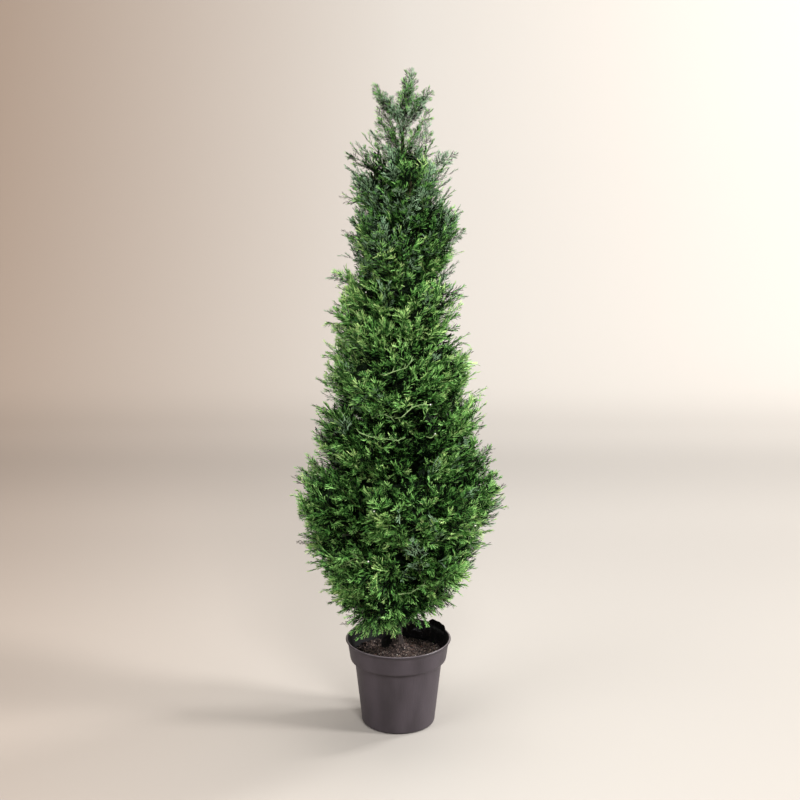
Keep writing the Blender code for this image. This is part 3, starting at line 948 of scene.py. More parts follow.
@dataclass
class FanPattern:
    """A flat feathery fan of narrow cedar shoots in its own XY plane, with its rib along Y."""

    seed: int
    length: float = 0.034
    branchlets: int = 9
    branchlet_length: float = 0.0192
    half_width: float = 0.00118
    crowding: float = 0.60  # chance that a branchlet carries each of its own two side shoots
    least_lean: float = 24.0  # of a branchlet from the rib, in degrees
    most_lean: float = 43.0
    shade_share: float = 0.48  # share of the branchlets that take the dark tone, painted shade between the lit ones
    first: float = 0.10  # share of the rib below its first branchlet
    last: float = 0.96  # share of the rib below its last one
    rib_share: float = 0.80  # of the fan's length
    bend: float = 0.28  # the most that the rib turns, in radians
    widest: float = 0.36  # share of the rib at which the fan is widest
    narrowing: float = 0.86  # share of the rib over which it would narrow to nothing
    reaches: Range = (0.78, 1.20)  # of the branchlets, as shares of their length
    closing: float = 12.0  # how many degrees less they lean at the rib's end
    rise: float = 0.32  # the most that they rise out of the fan, in radians
    twig_leans: Range = (14.0, 28.0)  # of a side shoot from its branchlet, in degrees
    twig_reaches: Range = (0.56, 0.78)
    twig_rise: float = 0.35
    end_reaches: Range = (0.55, 0.78)
    roll: float = 0.7  # spread of each shoot's own roll, in radians

    OUTLINE = np.array(((0.0, 0.0, 0.0), (1.0, 0.15, -1.0), (0.0, 1.0, 0.0), (-1.0, 0.85, -1.0)))
    FACES = np.array(((0, 1, 2), (0, 2, 3)))
    FOLD = 0.40  # depth of a shoot's fold, as a share of its half width
    RIB_PIECES = 3
    SIDE_SHOOTS = ((1.0, 0.30), (-1.0, 0.48))  # the hand of each and where it starts on its branchlet
    END_LEANS = (-0.40, 0.0, 0.40)  # of the shoots at the rib's end, in radians

    def shoots(self) -> list[tuple]:
        """Grows the fan.

        Returns:
            Each shoot's start, heading, pitch, length, half width and part of the fan.
        """
        rng = np.random.default_rng(self.seed)
        rows = []
        bend = rng.uniform(-self.bend, self.bend)
        place, heading = np.zeros(3), 0.0
        spine = [place]
        for _ in range(self.RIB_PIECES):
            step = self.length * self.rib_share / self.RIB_PIECES
            rows.append((place, heading, 0.0, step * 1.25, self.half_width * 0.8, Part.RIB))
            place = place + heading_vector(heading, 0.0) * step
            heading += bend / self.RIB_PIECES
            spine.append(place)
        spine = np.array(spine)
        shares = np.linspace(0.0, 1.0, len(spine))
        hand = 1.0 if rng.uniform() < 0.5 else -1.0
        for index in range(self.branchlets):
            share = self.first + (self.last - self.first) * index / (self.branchlets - 1)
            start = place_at(share, shares, spine)
            fullness = 1.0 - ((share - self.widest) / self.narrowing) ** 2
            reach = self.branchlet_length * fullness * rng.uniform(*self.reaches)
            spread = rng.uniform(self.least_lean, self.most_lean) - self.closing * share
            lean = hand * math.radians(spread) + bend * share
            pitch = rng.uniform(-self.rise, self.rise)
            kind = Part.SHADE if rng.uniform() < self.shade_share else Part.HEART
            rows.append((start, lean, pitch, reach, self.half_width * rng.uniform(0.9, 1.1), kind))
            aim = heading_vector(lean, pitch)
            for turn, at in self.SIDE_SHOOTS:
                if rng.uniform() > self.crowding:
                    continue
                twig_lean = lean + turn * math.radians(rng.uniform(*self.twig_leans))
                size = self.half_width * rng.uniform(0.85, 1.05)
                twig_pitch = pitch + rng.uniform(-self.twig_rise, self.twig_rise)
                span = reach * rng.uniform(*self.twig_reaches)
                kind = Part.SHADE if rng.uniform() < self.shade_share * 0.7 else Part.TIP
                rows.append((start + aim * reach * at, twig_lean, twig_pitch, span, size, kind))
            hand = -hand
        for lean in self.END_LEANS:
            reach = self.branchlet_length * rng.uniform(*self.end_reaches)
            pitch = rng.uniform(-0.2, 0.2)
            rows.append((spine[-1], heading + lean, pitch, reach, self.half_width * 0.95, Part.TIP))
        return rows

    def outlines(self) -> dict[Part, np.ndarray]:
        """Turns the fan's shoots into small folded outlines, each rolled its own way.

        Returns:
            For each part of the fan, the vertices of its shoots.
        """
        rng = np.random.default_rng(self.seed + 5000)
        rows = self.shoots()
        made = {}
        for part in Part:
            places = [np.zeros((0, 3))]
            for start, heading, pitch, length, half_width, kind in rows:
                if kind is not part:
                    continue
                along = heading_vector(heading, pitch)
                square = np.array((math.cos(heading), -math.sin(heading), 0.0))
                side = turned(square, along, rng.normal(scale=self.roll))
                sizes = np.array((half_width, length, half_width * self.FOLD))
                axes = np.array((side, along, np.cross(side, along)))
                places.append(start + (self.OUTLINE * sizes) @ axes)
            made[part] = np.concatenate(places)
        return made


@dataclass
class Fan:
    """One fan in its place."""

    pattern: int
    origin: np.ndarray
    along: np.ndarray
    face: np.ndarray
    size: float
    tone: Tone
    curl: float


@dataclass
class Spray:
    """A compound spray: a curved stem with fans on alternate sides and one at its tip."""

    mass: str
    base: np.ndarray
    tip: np.ndarray
    face: np.ndarray
    tone: Tone
    slender: bool
    size: float


@dataclass
class BranchTree:
    """The limb and twigs of one mass. Every place but the first grows from an earlier one."""

    places: list = field(default_factory=list)
    parents: list = field(default_factory=list)
    loads: list = field(default_factory=list)
    limb_count: int = 0
    bend_cost: float = 0.9
    long_step: float = 0.030
    sag: float = 0.10

    def start(self, limb: list[np.ndarray]) -> None:
        """Lays the limb that everything grows from."""
        for index, place in enumerate(limb):
            self.add(place, index - 1)
        self.limb_count = len(limb)

    def add(self, place: np.ndarray, parent: int) -> int:
        """Adds a place that grows from another, and gives its number."""
        self.places.append(place)
        self.parents.append(parent)
        self.loads.append(0)
        return len(self.places) - 1

    def grow_to(self, place: np.ndarray) -> None:
        """Grows a twig to a place from wherever it costs least in length and bending.

        Args:
            place: where a spray starts.
        """
        known = np.array(self.places)
        way = place - known
        far = np.linalg.norm(way, axis=1)
        run = known - known[np.maximum(np.array(self.parents), 0)]
        run_length = np.maximum(np.linalg.norm(run, axis=1), 1e-6)
        cosine = np.sum(way * run, axis=1) / (np.maximum(far, 1e-6) * run_length)
        cost = far * (1.0 + self.bend_cost * (1.0 - cosine))
        cost[0] = far[0] * (1.0 + self.bend_cost)
        parent = int(np.argmin(cost))
        reach, start = float(far[parent]), self.places[parent]
        steps = int(reach / self.long_step)
        for step in range(1, steps + 1):
            share = step / (steps + 1)
            dip = -UP * self.sag * reach * share * (1.0 - share)
            parent = self.add(start + (place - start) * share + dip, parent)
        self.carry(self.add(place, parent))

    def carry(self, index: int) -> None:
        """Counts one more spray on a place and on all that it grows from."""
        while index >= 0:
            self.loads[index] += 1
            index = self.parents[index]


def tree_of(names: list[str]) -> tuple[BVHTree, list[str]]:
    """Makes one search tree of CAD nodes.

    Args:
        names: the nodes.

    Returns:
        The tree, and the name of the node that each of its faces belongs to.
    """
    places, faces, owners = [], [], []
    for name in names:
        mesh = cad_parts[name].data
        first = len(places)
        places.extend(vert.co.copy() for vert in mesh.vertices)
        faces.extend([first + corner for corner in polygon.vertices] for polygon in mesh.polygons)
        owners.extend([name] * len(mesh.polygons))
    return BVHTree.FromPolygons(places, faces), owners


def limb_of(mass: str, trunk: Trunk) -> tuple[np.ndarray, np.ndarray, float]:
    """Measures the CAD bough that carries a mass.

    Args:
        mass: the mass's node.
        trunk: the trunk that the bough grows from.

    Returns:
        The bough's end at the trunk, its end in the mass, and its thickest radius.
    """
    places = node_places(mass.replace("foliage_", "bough_"))
    middle = places.mean(axis=0)
    along = np.linalg.svd(places - middle)[2][0]
    share = (places - middle) @ along
    inset = (share.max() - share.min()) / 2.0 * 0.1
    ends = [middle + along * (share.min() + inset), middle + along * (share.max() - inset)]
    ends.sort(key=lambda end: float(np.linalg.norm((end - trunk.axis_at(end[2]))[:2])))
    aside = (places - middle) - np.outer(share, along)
    return ends[0], ends[1], float(np.linalg.norm(aside, axis=1).max())


@dataclass
class Crown:
    """Everything green: sprays on twigs, twigs on limbs and limbs on the trunk, mass by mass."""

    trunk: Trunk
    seed: int = 20
    spray_spacing: float = 0.0180
    bunch_scale: float = 17.0  # sprays stand in bunches of about one over this, in metres
    broad_scale: float = 7.0  # the same for the lighter and darker parts of the crown
    hollow_depth: float = 0.022  # how much deeper they lie between the bunches
    filler_rise: float = 0.022  # between the rounds of dark inner fans
    filler_turn: float = 0.62  # between two of a round, in radians
    filler_from: float = 0.012  # from the trunk's centre to the first of them
    filler_step: float = 0.030  # between one round and the next one out
    tries: int = 40_000
    aim_spread: float = 0.018  # how far from the trunk's centre the tries are aimed
    tip_aside: float = 0.015  # where the crown's centre lies above the trunk
    sight_rises: Range = (-42.0, 58.0)  # from which the crown is looked at, in degrees
    slender_share: float = 0.27
    spray_lengths: Range = (0.066, 0.100)
    spray_depth: float = 0.024  # the deepest that a full spray's tip lies in the crown
    slender_depths: Range = (-0.008, 0.001)
    top_smaller: float = 0.34  # how much smaller the sprays are at the tip, as a share
    top_shorter: float = 0.38
    leader_bare: float = 1.115  # above this only the separate tip sprays grow
    open_from: float = 1.035  # above this the crown is thinner
    open_share: float = 0.50
    filled_to: float = 1.055  # above this no dark inner fans grow
    bare_below: float = 0.215  # under this no sprays grow close to the trunk
    bare_radius: float = 0.088
    more_runners: int = 70  # at the sides and the back
    runner_stand_out: float = 0.008  # how far those end outside the crown
    runner_heights: Range = (0.30, 1.02)
    runner_rises: Range = (15.0, 40.0)  # at the floor, in degrees
    runner_lengths: Range = (0.085, 0.110)
    leader_size: float = 0.54  # of the fans on those
    low_size: float = 0.84  # of the fans on the lowest sprays
    leader_spray_rise: float = 0.062  # of the sprays at the very tip
    gap_spray_length: float = 0.085
    low_spray_drop: float = 0.060  # by which the lowest sprays hang down
    low_spray_from: float = 0.026  # from the pot's centre to where they start
    filler_cover: float = 0.028  # how far inside the crown's outline a dark fan must end
    shade_cover: float = 0.020  # fans deeper than this take a darker tone, painted shade
    least_cover: float = 0.010  # how far inside the outline a long slim spray must start
    trunk_clear: float = 0.010  # between the trunk's centre and where a spray starts
    stem_radius: float = 0.00075
    stem_taper: float = 0.4
    stem_places: int = 5
    twig_radius: float = 0.00062
    thickest_twig: float = 0.0024
    load_power: float = 0.42
    fan_spacing: float = 0.0085
    fan_leans: Range = (17.0, 34.0)  # from the spray's stem, in degrees
    fan_sizes: Range = (0.72, 1.02)
    fan_rise: float = 15.0  # spread of its pitch out of the spray, in degrees
    fan_roll: float = 20.0
    fan_curl: float = 4.0
    end_fan: float = 0.034  # length of the fan at a spray's tip
    end_fan_sizes: Range = (0.88, 1.08)
    fan_arch: float = 6.0  # how strongly a fan bends down at both its sides
    limb_places: int = 12  # along the trunk's tip, which is the topmost mass's limb
    limb_curve: int = 6  # steps of a limb's way on from its CAD bough
    limb_step: float = 0.007
    limb_sides: int = 9
    patterns: list = field(default_factory=list)
    numbers: dict = field(default_factory=dict)
    sprays: list = field(default_factory=list)
    fans: list = field(default_factory=list)
    stems: list = field(default_factory=list)
    sockets: list = field(default_factory=list)
    trees: dict = field(default_factory=dict)
    tree: BVHTree = field(init=False)
    owners: list = field(init=False)
    lowest: float = field(init=False)
    highest: float = field(init=False)

    # ends of the sprays at the very tip: the fork, the heads beside it and the shoots below them
    LEADER_TIPS = (
        (22, 0, 1221), (30, 4, 1213), (14, -6, 1205), (24, 12, 1200), (-46, 4, 1190), (-38, -6, 1184),
        (-30, 10, 1174), (-24, -14, 1180), (56, 2, 1188), (50, -8, 1180), (44, 12, 1170), (4, 18, 1184),
        (6, -20, 1182), (34, -16, 1178), (-10, -22, 1166), (20, 28, 1166), (58, 6, 1150), (54, -10, 1128),
        (-38, 12, 1150), (-34, -12, 1134), (16, -34, 1154), (58, 12, 1108), (-48, 4, 1112), (0, 36, 1140),
        (-12, -16, 1128), (34, -14, 1122), (8, -26, 1112), (-20, 16, 1118),
    )
    # ends of the long slim sprays at the outline, with the angle that each rises at, in degrees
    RUNNERS = (
        (-62, 4, 1106, 48), (-74, -6, 1092, 40), (66, 4, 1098, 52), (-92, 0, 1076, 30), (-96, -4, 1002, 25),
        (-98, 6, 930, 28), (-124, 2, 858, 24), (-131, -8, 792, 14), (-134, 6, 772, 10), (-140, 10, 656, 30),
        (-138, -14, 644, 24), (-136, 0, 732, 34), (-144, -10, 668, 32), (-152, 4, 624, 38),
        (-168, 4, 520, 44), (-182, -6, 504, 36), (-192, 0, 452, 26), (-188, 12, 442, 14), (-174, 0, 390, 6),
        (-186, 6, 364, 8), (-172, -6, 344, 0), (-166, 4, 304, -8), (-142, 0, 262, -14), (98, 0, 1076, 44),
        (92, 6, 1062, 48), (84, -8, 1076, 52), (100, 4, 1046, 36), (92, -6, 1030, 40), (98, 8, 1010, 44),
        (78, 10, 1088, 56), (-84, 6, 1086, 44), (-90, -6, 1052, 36), (-98, 4, 900, 40), (-112, -4, 868, 32),
        (112, -4, 972, 34), (112, 6, 936, 26), (110, 0, 904, 30), (106, 4, 880, 40), (118, -4, 826, 34),
        (108, 0, 764, 20), (124, 4, 750, 34), (130, -6, 722, 40), (140, 4, 684, 44), (158, 0, 652, 34),
        (152, 6, 598, 46), (174, -4, 540, 42), (172, 6, 516, 40), (198, 0, 462, 28), (196, 6, 432, 24),
        (178, -4, 400, 22), (170, 4, 382, 20), (154, 0, 354, 14), (142, 4, 302, 4), (122, 0, 264, -6),
    )
    # ends of the bare dark twigs that stick out, with the angle that each rises at
    BARE_TIPS = (
        (-44, 0, 1184, 62), (-96, 0, 1068, 24), (-108, 4, 1000, 16), (-102, -4, 940, 30), (-150, 0, 592, 38),
        (-198, 0, 486, 26), (-190, 6, 358, 10), (-114, -4, 194, -6), (156, 0, 592, 62), (176, 4, 545, 42),
        (180, -4, 500, 40), (184, 4, 410, 24), (90, 120, 480, 36), (-60, 150, 520, 30), (30, 120, 760, 44),
        (-90, 90, 700, 34), (60, 80, 960, 40), (-100, -130, 420, 20),
    )
    # ends of the lowest sprays, which hang in front of the trunk and over the pot
    LOW_TIPS = (
        (-88, -34, 188), (-74, -56, 186), (-60, -44, 186), (-44, -66, 202), (-32, -52, 200), (38, -50, 212),
        (54, -36, 210), (-96, 4, 192), (-78, 34, 190), (-50, 60, 184), (-12, 66, 184), (28, 62, 186),
        (-24, -52, 200), (-12, -58, 196), (0, -48, 202), (16, -52, 210), (4, -64, 208),
    )
    # ends of sprays that close gaps between the bunches
    GAP_TIPS = (
        (-108, -18, 628), (-96, -30, 612), (-118, 0, 608), (-104, -40, 640), (-50, -90, 748), (-32, -96, 756),
        (-14, -102, 750), (4, -104, 760), (21, -102, 752), (38, -96, 760), (56, -84, 744), (74, -66, 752),
    )
    # the seeds of each kind's fan patterns, and how they differ from the full ones
    PATTERNS = {
        FanKind.FULL: (range(100, 112), {}),
        FanKind.SPARSE: (range(200, 204), {
            "length": 0.040, "branchlets": 8, "branchlet_length": 0.0150, "half_width": 0.00096,
            "crowding": 0.34, "least_lean": 14.0, "most_lean": 28.0,
        }),
        FanKind.FILLER: (range(300, 303), {
            "length": 0.050, "branchlets": 14, "branchlet_length": 0.024, "half_width": 0.0021,
            "crowding": 0.0,
        }),
        FanKind.BARE: ((401, 400), {
            "length": 0.030, "branchlets": 6, "branchlet_length": 0.0105, "half_width": 0.00072,
            "crowding": 0.30,
        }),
    }
    # heights along the crown, and how steeply its sprays rise there
    RISES = ((0.17, 0.27, 0.45, 0.80, 1.20), (-0.55, 0.05, 0.70, 1.05, 1.5))
    STEPS = (Tone.INNER, Tone.DEEP, Tone.MID, Tone.FRESH, Tone.LIME)  # from dark to light
    LIMITS = ((-0.34, Tone.DEEP), (0.36, Tone.MID), (1.10, Tone.FRESH))  # a draw under one takes its tone
    LEADER_TONES = (Tone.SLATE, Tone.DEEP, Tone.SLATE, Tone.DEEP)
    LOW_TONES = (Tone.DEEP, Tone.MID, Tone.MID)
    # the tone of each part of a fan, rib first: the darker rib and shade shoots are painted shade and the
    # lighter tips a painted highlight, side by side in it
    SHOOTS = {
        Tone.INNER: (Tone.INNER,) * 4,
        Tone.BARE: (Tone.BARE,) * 4,
        Tone.DEEP: (Tone.INNER, Tone.INNER, Tone.DEEP, Tone.MID),
        Tone.MID: (Tone.DEEP, Tone.INNER, Tone.MID, Tone.FRESH),
        Tone.FRESH: (Tone.DEEP, Tone.DEEP, Tone.FRESH, Tone.LIME),
        Tone.LIME: (Tone.MID, Tone.DEEP, Tone.FRESH, Tone.LIME),
        Tone.SLATE: (Tone.INNER, Tone.INNER, Tone.SLATE, Tone.SLATE),
    }

    def __post_init__(self) -> None:
        """Reads the foliage masses of the CAD."""
        self.tree, self.owners = tree_of(FOLIAGE)
        self.lowest = min(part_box(name)[0].z for name in FOLIAGE)
        self.highest = max(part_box(name)[1].z for name in FOLIAGE)

    def grow(self) -> None:
        """Grows the whole crown, from where sprays show at its surface back to the trunk."""
        rng = np.random.default_rng(self.seed)
        self.make_patterns()
        for site in self.surface_sites(rng):
            self.set_surface_spray(rng, *site)
        self.set_single_sprays(rng)
        for spray in self.sprays:
            self.grow_spray(rng, spray)
        self.set_fillers(rng)
        self.grow_branches()

    def make_patterns(self) -> None:
        """Grows the fans that every spray is put together from, and notes the numbers of each kind."""
        for kind, (seeds, sizes) in self.PATTERNS.items():
            self.numbers[kind] = range(len(self.patterns), len(self.patterns) + len(seeds))
            for index, seed in enumerate(seeds):
                own = sizes or {"branchlets": 8 + index % 3}
                self.patterns.append(FanPattern(seed=seed, **own))

    def draw_pattern(self, rng: np.random.Generator, kind: FanKind) -> int:
        """Draws the number of a fan pattern of one kind."""
        return self.numbers[kind][int(rng.integers(len(self.numbers[kind])))]

    def surface_sites(self, rng: np.random.Generator) -> list[tuple]:
        """Finds evenly spread places on the crown, as seen from all round it.

        Args:
            rng: the random draws.

        Returns:
            Place, outward normal and mass of each.
        """
        spacing, cells, sites = self.spray_spacing, {}, []
        for _ in range(self.tries):
            height = self.lowest + (self.highest - self.lowest) * rng.uniform()
            way = level_way(rng.uniform(0.0, FULL_TURN))
            rise = math.radians(rng.uniform(*self.sight_rises))
            aim = Vector(way * math.cos(rise) + UP * math.sin(rise))
            centre = Vector((self.tip_aside, 0.0, height))
            if height < self.trunk.high:
                centre = self.trunk.section(height)[0]
            target = centre + Vector(rng.normal(scale=self.aim_spread, size=3))
            place, normal, face, _ = self.tree.ray_cast(target + aim * OUTSIDE, -aim)
            if place is None:
                continue
            cell = tuple(int(math.floor(value / spacing)) for value in place)
            near = (
                other
                for x in (-1, 0, 1) for y in (-1, 0, 1) for z in (-1, 0, 1)
                for other in cells.get((cell[0] + x, cell[1] + y, cell[2] + z), ())
            )
            if any((place - other).length < spacing for other in near):
                continue
            cells.setdefault(cell, []).append(place)
            if normal.dot(aim) < 0.0:
                normal = -normal
            sites.append((np.array(place), np.array(normal), self.owners[face]))
        return sites

    def deal_tone(self, rng: np.random.Generator, place: np.ndarray) -> Tone:
        """Picks a spray's tone: duller and bluer towards the top, with like tones in patches.

        Args:
            rng: the random draws.
            place: where the spray's tip is.

        Returns:
            The tone.
        """
        top = smooth_step((place[2] - 0.72) / 0.42)
        patch = noise.noise(Vector(place) * self.bunch_scale) * 0.8 + rng.normal(scale=0.34) + 0.02
        patch += noise.noise(Vector(place) * self.broad_scale + Vector((3.1, 0.0, 5.7))) * 0.65
        if rng.uniform() < 0.06 + 0.34 * top:
            return Tone.SLATE
        patch -= 0.19 * top + 0.10
        return next((tone for limit, tone in self.LIMITS if patch < limit), Tone.LIME)

    def set_surface_spray(
        self, rng: np.random.Generator, place: np.ndarray, normal: np.ndarray, mass: str
    ) -> None:
        """Sets a spray's tip near a place on the crown's surface, and its base inside.

        Args:
            rng: the random draws.
            place: the place.
            normal: the way out of the crown there.
            mass: the mass that it lies on.
        """
        if mass == LEADER and place[2] > self.leader_bare:
            return
        if place[2] > self.open_from and rng.uniform() < self.open_share:
            return
        if place[2] < self.bare_below and math.hypot(place[0], place[1]) < self.bare_radius:
            return
        radial = unit(self.trunk.out_to(place))
        bunch = noise.noise(Vector(place) * self.bunch_scale)
        lift = float(np.interp(place[2], *self.RISES))
        aim = unit(radial * 0.72 + UP * lift + normal * 0.40 + rng.normal(scale=0.18, size=3))
        top = smooth_step((place[2] - 0.95) / 0.20)
        slender = bool(rng.uniform() < self.slender_share)
        length = rng.uniform(*self.spray_lengths) * (1.0 - self.top_shorter * top)
        depth = self.spray_depth * rng.uniform() ** 1.7 - 0.002
        depth += self.hollow_depth * smooth_step(-bunch * 2.4 - 0.1)
        depth *= 1.0 - 0.65 * smooth_step((place[2] - 0.78) / 0.24)
        if slender:
            depth = rng.uniform(*self.slender_depths)
        tip = place - normal * depth
        base = self.keep_inside(tip - aim * length, tip)
        face = radial + normal * 0.5 + rng.normal(scale=0.34, size=3)
        tone, size = self.deal_tone(rng, place), 1.0 - self.top_smaller * top
        self.add_spray(mass, base, tip, face, tone, slender, size)

    def set_single_sprays(self, rng: np.random.Generator) -> None:
        """Sets the sprays at the very tip, at the outline, in the gaps and over the pot."""
        for tip in metres(*self.LEADER_TIPS):
            foot = self.trunk.axis_at(min(tip[2] - self.leader_spray_rise, self.trunk.high - 0.002))
            foot = foot + (tip - foot) * LEVEL * 0.12
            face = np.array((rng.normal(scale=0.5), -1.0, 0.2))
            tone = self.LEADER_TONES[int(rng.integers(len(self.LEADER_TONES)))]
            self.add_spray(LEADER, foot, tip, face, tone, False, self.leader_size)
        for *place, rise in self.RUNNERS:
            self.add_runner(rng, metres(*place), math.radians(rise), self.deal_tone(rng, metres(*place)))
        for _ in range(self.more_runners):
            height, turn = rng.uniform(*self.runner_heights), rng.uniform(-0.25, 1.25) * math.pi
            way = level_way(turn)
            hit = self.surface_out(self.trunk.axis_at(height), way)
            if hit is not None:
                tip = np.array(hit) + way * self.runner_stand_out
                rise = math.radians(rng.uniform(*self.runner_rises) + 25.0 * height)
                self.add_runner(rng, tip, rise, self.deal_tone(rng, tip))
        for *place, rise in self.BARE_TIPS:
            self.add_runner(rng, metres(*place), math.radians(rise), Tone.BARE)
        for tip in metres(*self.GAP_TIPS):
            out = unit(self.trunk.out_to(tip))
            aim = unit(out * 0.8 + UP + rng.normal(scale=0.2, size=3))
            base = self.keep_inside(tip - aim * self.gap_spray_length, tip)
            self.add_spray(self.mass_near(tip), base, tip, out, self.deal_tone(rng, tip), False, 1.0)
        for tip in metres(*self.LOW_TIPS):
            out = unit(tip * LEVEL)
            base = out * self.low_spray_from + UP * (tip[2] + self.low_spray_drop)
            slender = bool(rng.uniform() < 0.5)
            tone = self.LOW_TONES[int(rng.integers(len(self.LOW_TONES)))]
            self.add_spray(self.mass_near(tip), base, tip, out + UP, tone, slender, self.low_size)

    def add_spray(
        self, mass: str, base: np.ndarray, tip: np.ndarray, face: np.ndarray, tone: Tone, slender: bool,
        size: float,
    ) -> None:
        """Adds a spray, with its face squared up to its length.

        Args:
            mass: the node whose limb it grows from.
            base: where it starts.
            tip: where it ends.
            face: about which way its fans face.
            tone: its tone.
            slender: whether it takes the sparse fans.
            size: the size of its fans.
        """
        square = squared(unit(face), unit(tip - base))
        self.sprays.append(Spray(mass, base, tip, square, tone, slender, size))

    def add_runner(self, rng: np.random.Generator, tip: np.ndarray, rise: float, tone: Tone) -> None:
        """Adds one of the long slim sprays that stand out of the crown's outline.

        Args:
            rng: the random draws.
            tip: where it ends.
            rise: its angle above level, in radians.
            tone: its tone.
        """
        way = unit(self.trunk.out_to(tip)) * math.cos(rise) + UP * math.sin(rise)
        base = tip - way * rng.uniform(*self.runner_lengths)
        if self.cover(base) < self.least_cover:
            return
        base = self.keep_inside(base, tip)
        face = UP + rng.normal(scale=0.6, size=3)
        slender = tone is Tone.BARE or bool(rng.uniform() < 0.7)
        self.add_spray(self.mass_near(base), base, tip, face, tone, slender, 0.86 - 0.2 * smooth_step(tip[2]))

    def mass_near(self, place: np.ndarray) -> str:
        """The foliage node that lies nearest to a place."""
        return self.owners[self.tree.find_nearest(Vector(place))[2]]

    def keep_inside(self, base: np.ndarray, tip: np.ndarray) -> np.ndarray:
        """Draws a spray's base out of the trunk, or in from open air.

        Args:
            base: where the spray would start.
            tip: where it ends.

        Returns:
            A base that is clear of the trunk and inside the crown.
        """
        out = self.trunk.out_to(base)
        if np.linalg.norm(out) < self.trunk_clear:
            towards = (tip - self.trunk.axis_at(base[2])) * LEVEL
            base = base - out + unit(towards) * self.trunk_clear
        lack = self.least_cover * 0.5 - self.cover(base)
        if lack > 0.0 and np.linalg.norm(out) > lack + self.trunk_clear:
            base = base - unit(out) * lack
        return base

    def grow_spray(self, rng: np.random.Generator, spray: Spray) -> None:
        """Lays a spray's stem and sets its fans.

        Args:
            rng: the random draws.
            spray: the spray.
        """
        whole = spray.tip - spray.base
        length = float(np.linalg.norm(whole))
        along = whole / length
        side = np.cross(spray.face, along)
        stem = max(length - self.end_fan * spray.size, length * 0.45)
        bow = side * rng.normal(scale=0.05) * length + spray.face * rng.uniform(-0.02, 0.10) * length
        path = []
        for index in range(self.stem_places):
            share = index / (self.stem_places - 1)
            path.append(spray.base + along * stem * share + bow * share * (1.0 - share) * 2.0)
        self.stems.append(path)
        path, shares = np.array(path), np.linspace(0.0, 1.0, len(path))
        number = max(3, int(round(stem * 0.86 / (self.fan_spacing * spray.size))))
        hand = 1.0 if rng.uniform() < 0.5 else -1.0
        fans = []
        for index in range(number):
            share = 0.20 + 0.76 * (index + rng.uniform(-0.2, 0.2)) / max(number - 1, 1)
            lean = hand * math.radians(rng.uniform(*self.fan_leans)) * (0.7 if spray.slender else 1.0)
            aim = turned(along, spray.face, lean)
            pitch = math.radians(rng.normal(scale=self.fan_rise) + 4.0)
            aim = unit(aim * math.cos(pitch) + spray.face * math.sin(pitch))
            size = rng.uniform(*self.fan_sizes) * spray.size
            fans.append((place_at(share, shares, path), aim, size, share))
            hand = -hand
        size = rng.uniform(*self.end_fan_sizes) * spray.size
        fans.append((path[-1], unit(path[-1] - path[-2]), size, 1.2))
        for origin, aim, size, share in fans:
            face = squared(turned(spray.face, aim, math.radians(rng.normal(scale=self.fan_roll))), aim)
            # fans that lie deep in the crown take a darker tone: painted shade
            deep = self.shade_cover * (1.0 + 0.7 * smooth_step(origin[2]))
            tone = self.vary_tone(rng, spray.tone, share, self.cover(origin + aim * 0.012) > deep)
            pattern = self.draw_pattern(rng, FanKind.FULL)
            if tone is Tone.BARE:
                pattern = self.draw_pattern(rng, FanKind.BARE)
            elif spray.slender:
                pattern = self.draw_pattern(rng, FanKind.SPARSE)
            self.fans.append(Fan(pattern, origin, aim, face, size, tone, rng.normal(scale=self.fan_curl)))

    def vary_tone(self, rng: np.random.Generator, tone: Tone, share: float, buried: bool) -> Tone:
        """Paints shade and light into a spray's fans: inner and buried ones a tone darker than its own, some
        outer ones a tone lighter.

        Args:
            rng: the random draws.
            tone: the spray's tone.
            share: how far along the spray the fan is.
            buried: whether it lies deep in the crown.

        Returns:
            The fan's tone.
        """
        draw = rng.uniform()
        if tone not in self.STEPS:
            return Tone.DEEP if buried and tone is Tone.SLATE else tone
        index = self.STEPS.index(tone) - int(buried)
        if draw < 0.62 - 0.6 * share:
            index -= 1
        elif draw > 1.12 - 0.34 * share:
            index += 1
        return self.STEPS[min(max(index, 0), len(self.STEPS) - 1)]

    def set_fillers(self, rng: np.random.Generator) -> None:
        """Sets coarse fans through the heart of the crown, which close it behind the sprays; their near-black
        tone is painted shade.
        """
        height = self.lowest + self.filler_cover
        while height < self.filled_to:
            centre = self.trunk.axis_at(height)
            for turn in np.arange(0.0, FULL_TURN, self.filler_turn) + rng.uniform(0.0, 1.0):
                way = level_way(turn)
                reach = self.cover(centre + way * 0.001) - self.filler_cover
                radius = self.filler_from
                while radius < reach:
                    self.add_filler(rng, centre, way, radius + rng.normal(scale=0.004))
                    radius += self.filler_step
            height += self.filler_rise

    def add_filler(
        self, rng: np.random.Generator, centre: np.ndarray, way: np.ndarray, radius: float
    ) -> None:
        """Adds one coarse fan, facing outward, in the near-black tone of painted shade.

        Args:
            rng: the random draws.
            centre: the trunk's centre at its height.
            way: which way it lies from the trunk.
            radius: how far out.
        """
        across = np.array((-way[1], way[0], 0.0))
        aim = unit(UP * rng.normal(scale=0.6) + across * rng.normal(scale=0.6) + way * 0.25)
        middle = centre + way * radius + across * rng.normal(scale=0.010) + UP * rng.normal(scale=0.008)
        face = squared(way + rng.normal(scale=0.30, size=3), aim)
        size = rng.uniform(0.8, 1.05)
        origin = middle - aim * 0.024 * size
        if self.cover(middle + aim * 0.030 * size) < self.filler_cover * 0.7 or self.cover(origin) < 0.012:
            return
        pattern = self.draw_pattern(rng, FanKind.FILLER)
        self.fans.append(Fan(pattern, origin, aim, face, size, Tone.INNER, rng.normal(scale=3.0)))
        self.sockets.append((self.mass_near(origin), origin))

    def surface_out(self, centre: np.ndarray, way: np.ndarray) -> Vector | None:
        """Where the crown's outline lies in a level direction from the trunk's centre, if anywhere."""
        return self.tree.ray_cast(Vector(centre + way * OUTSIDE), Vector(-way))[0]

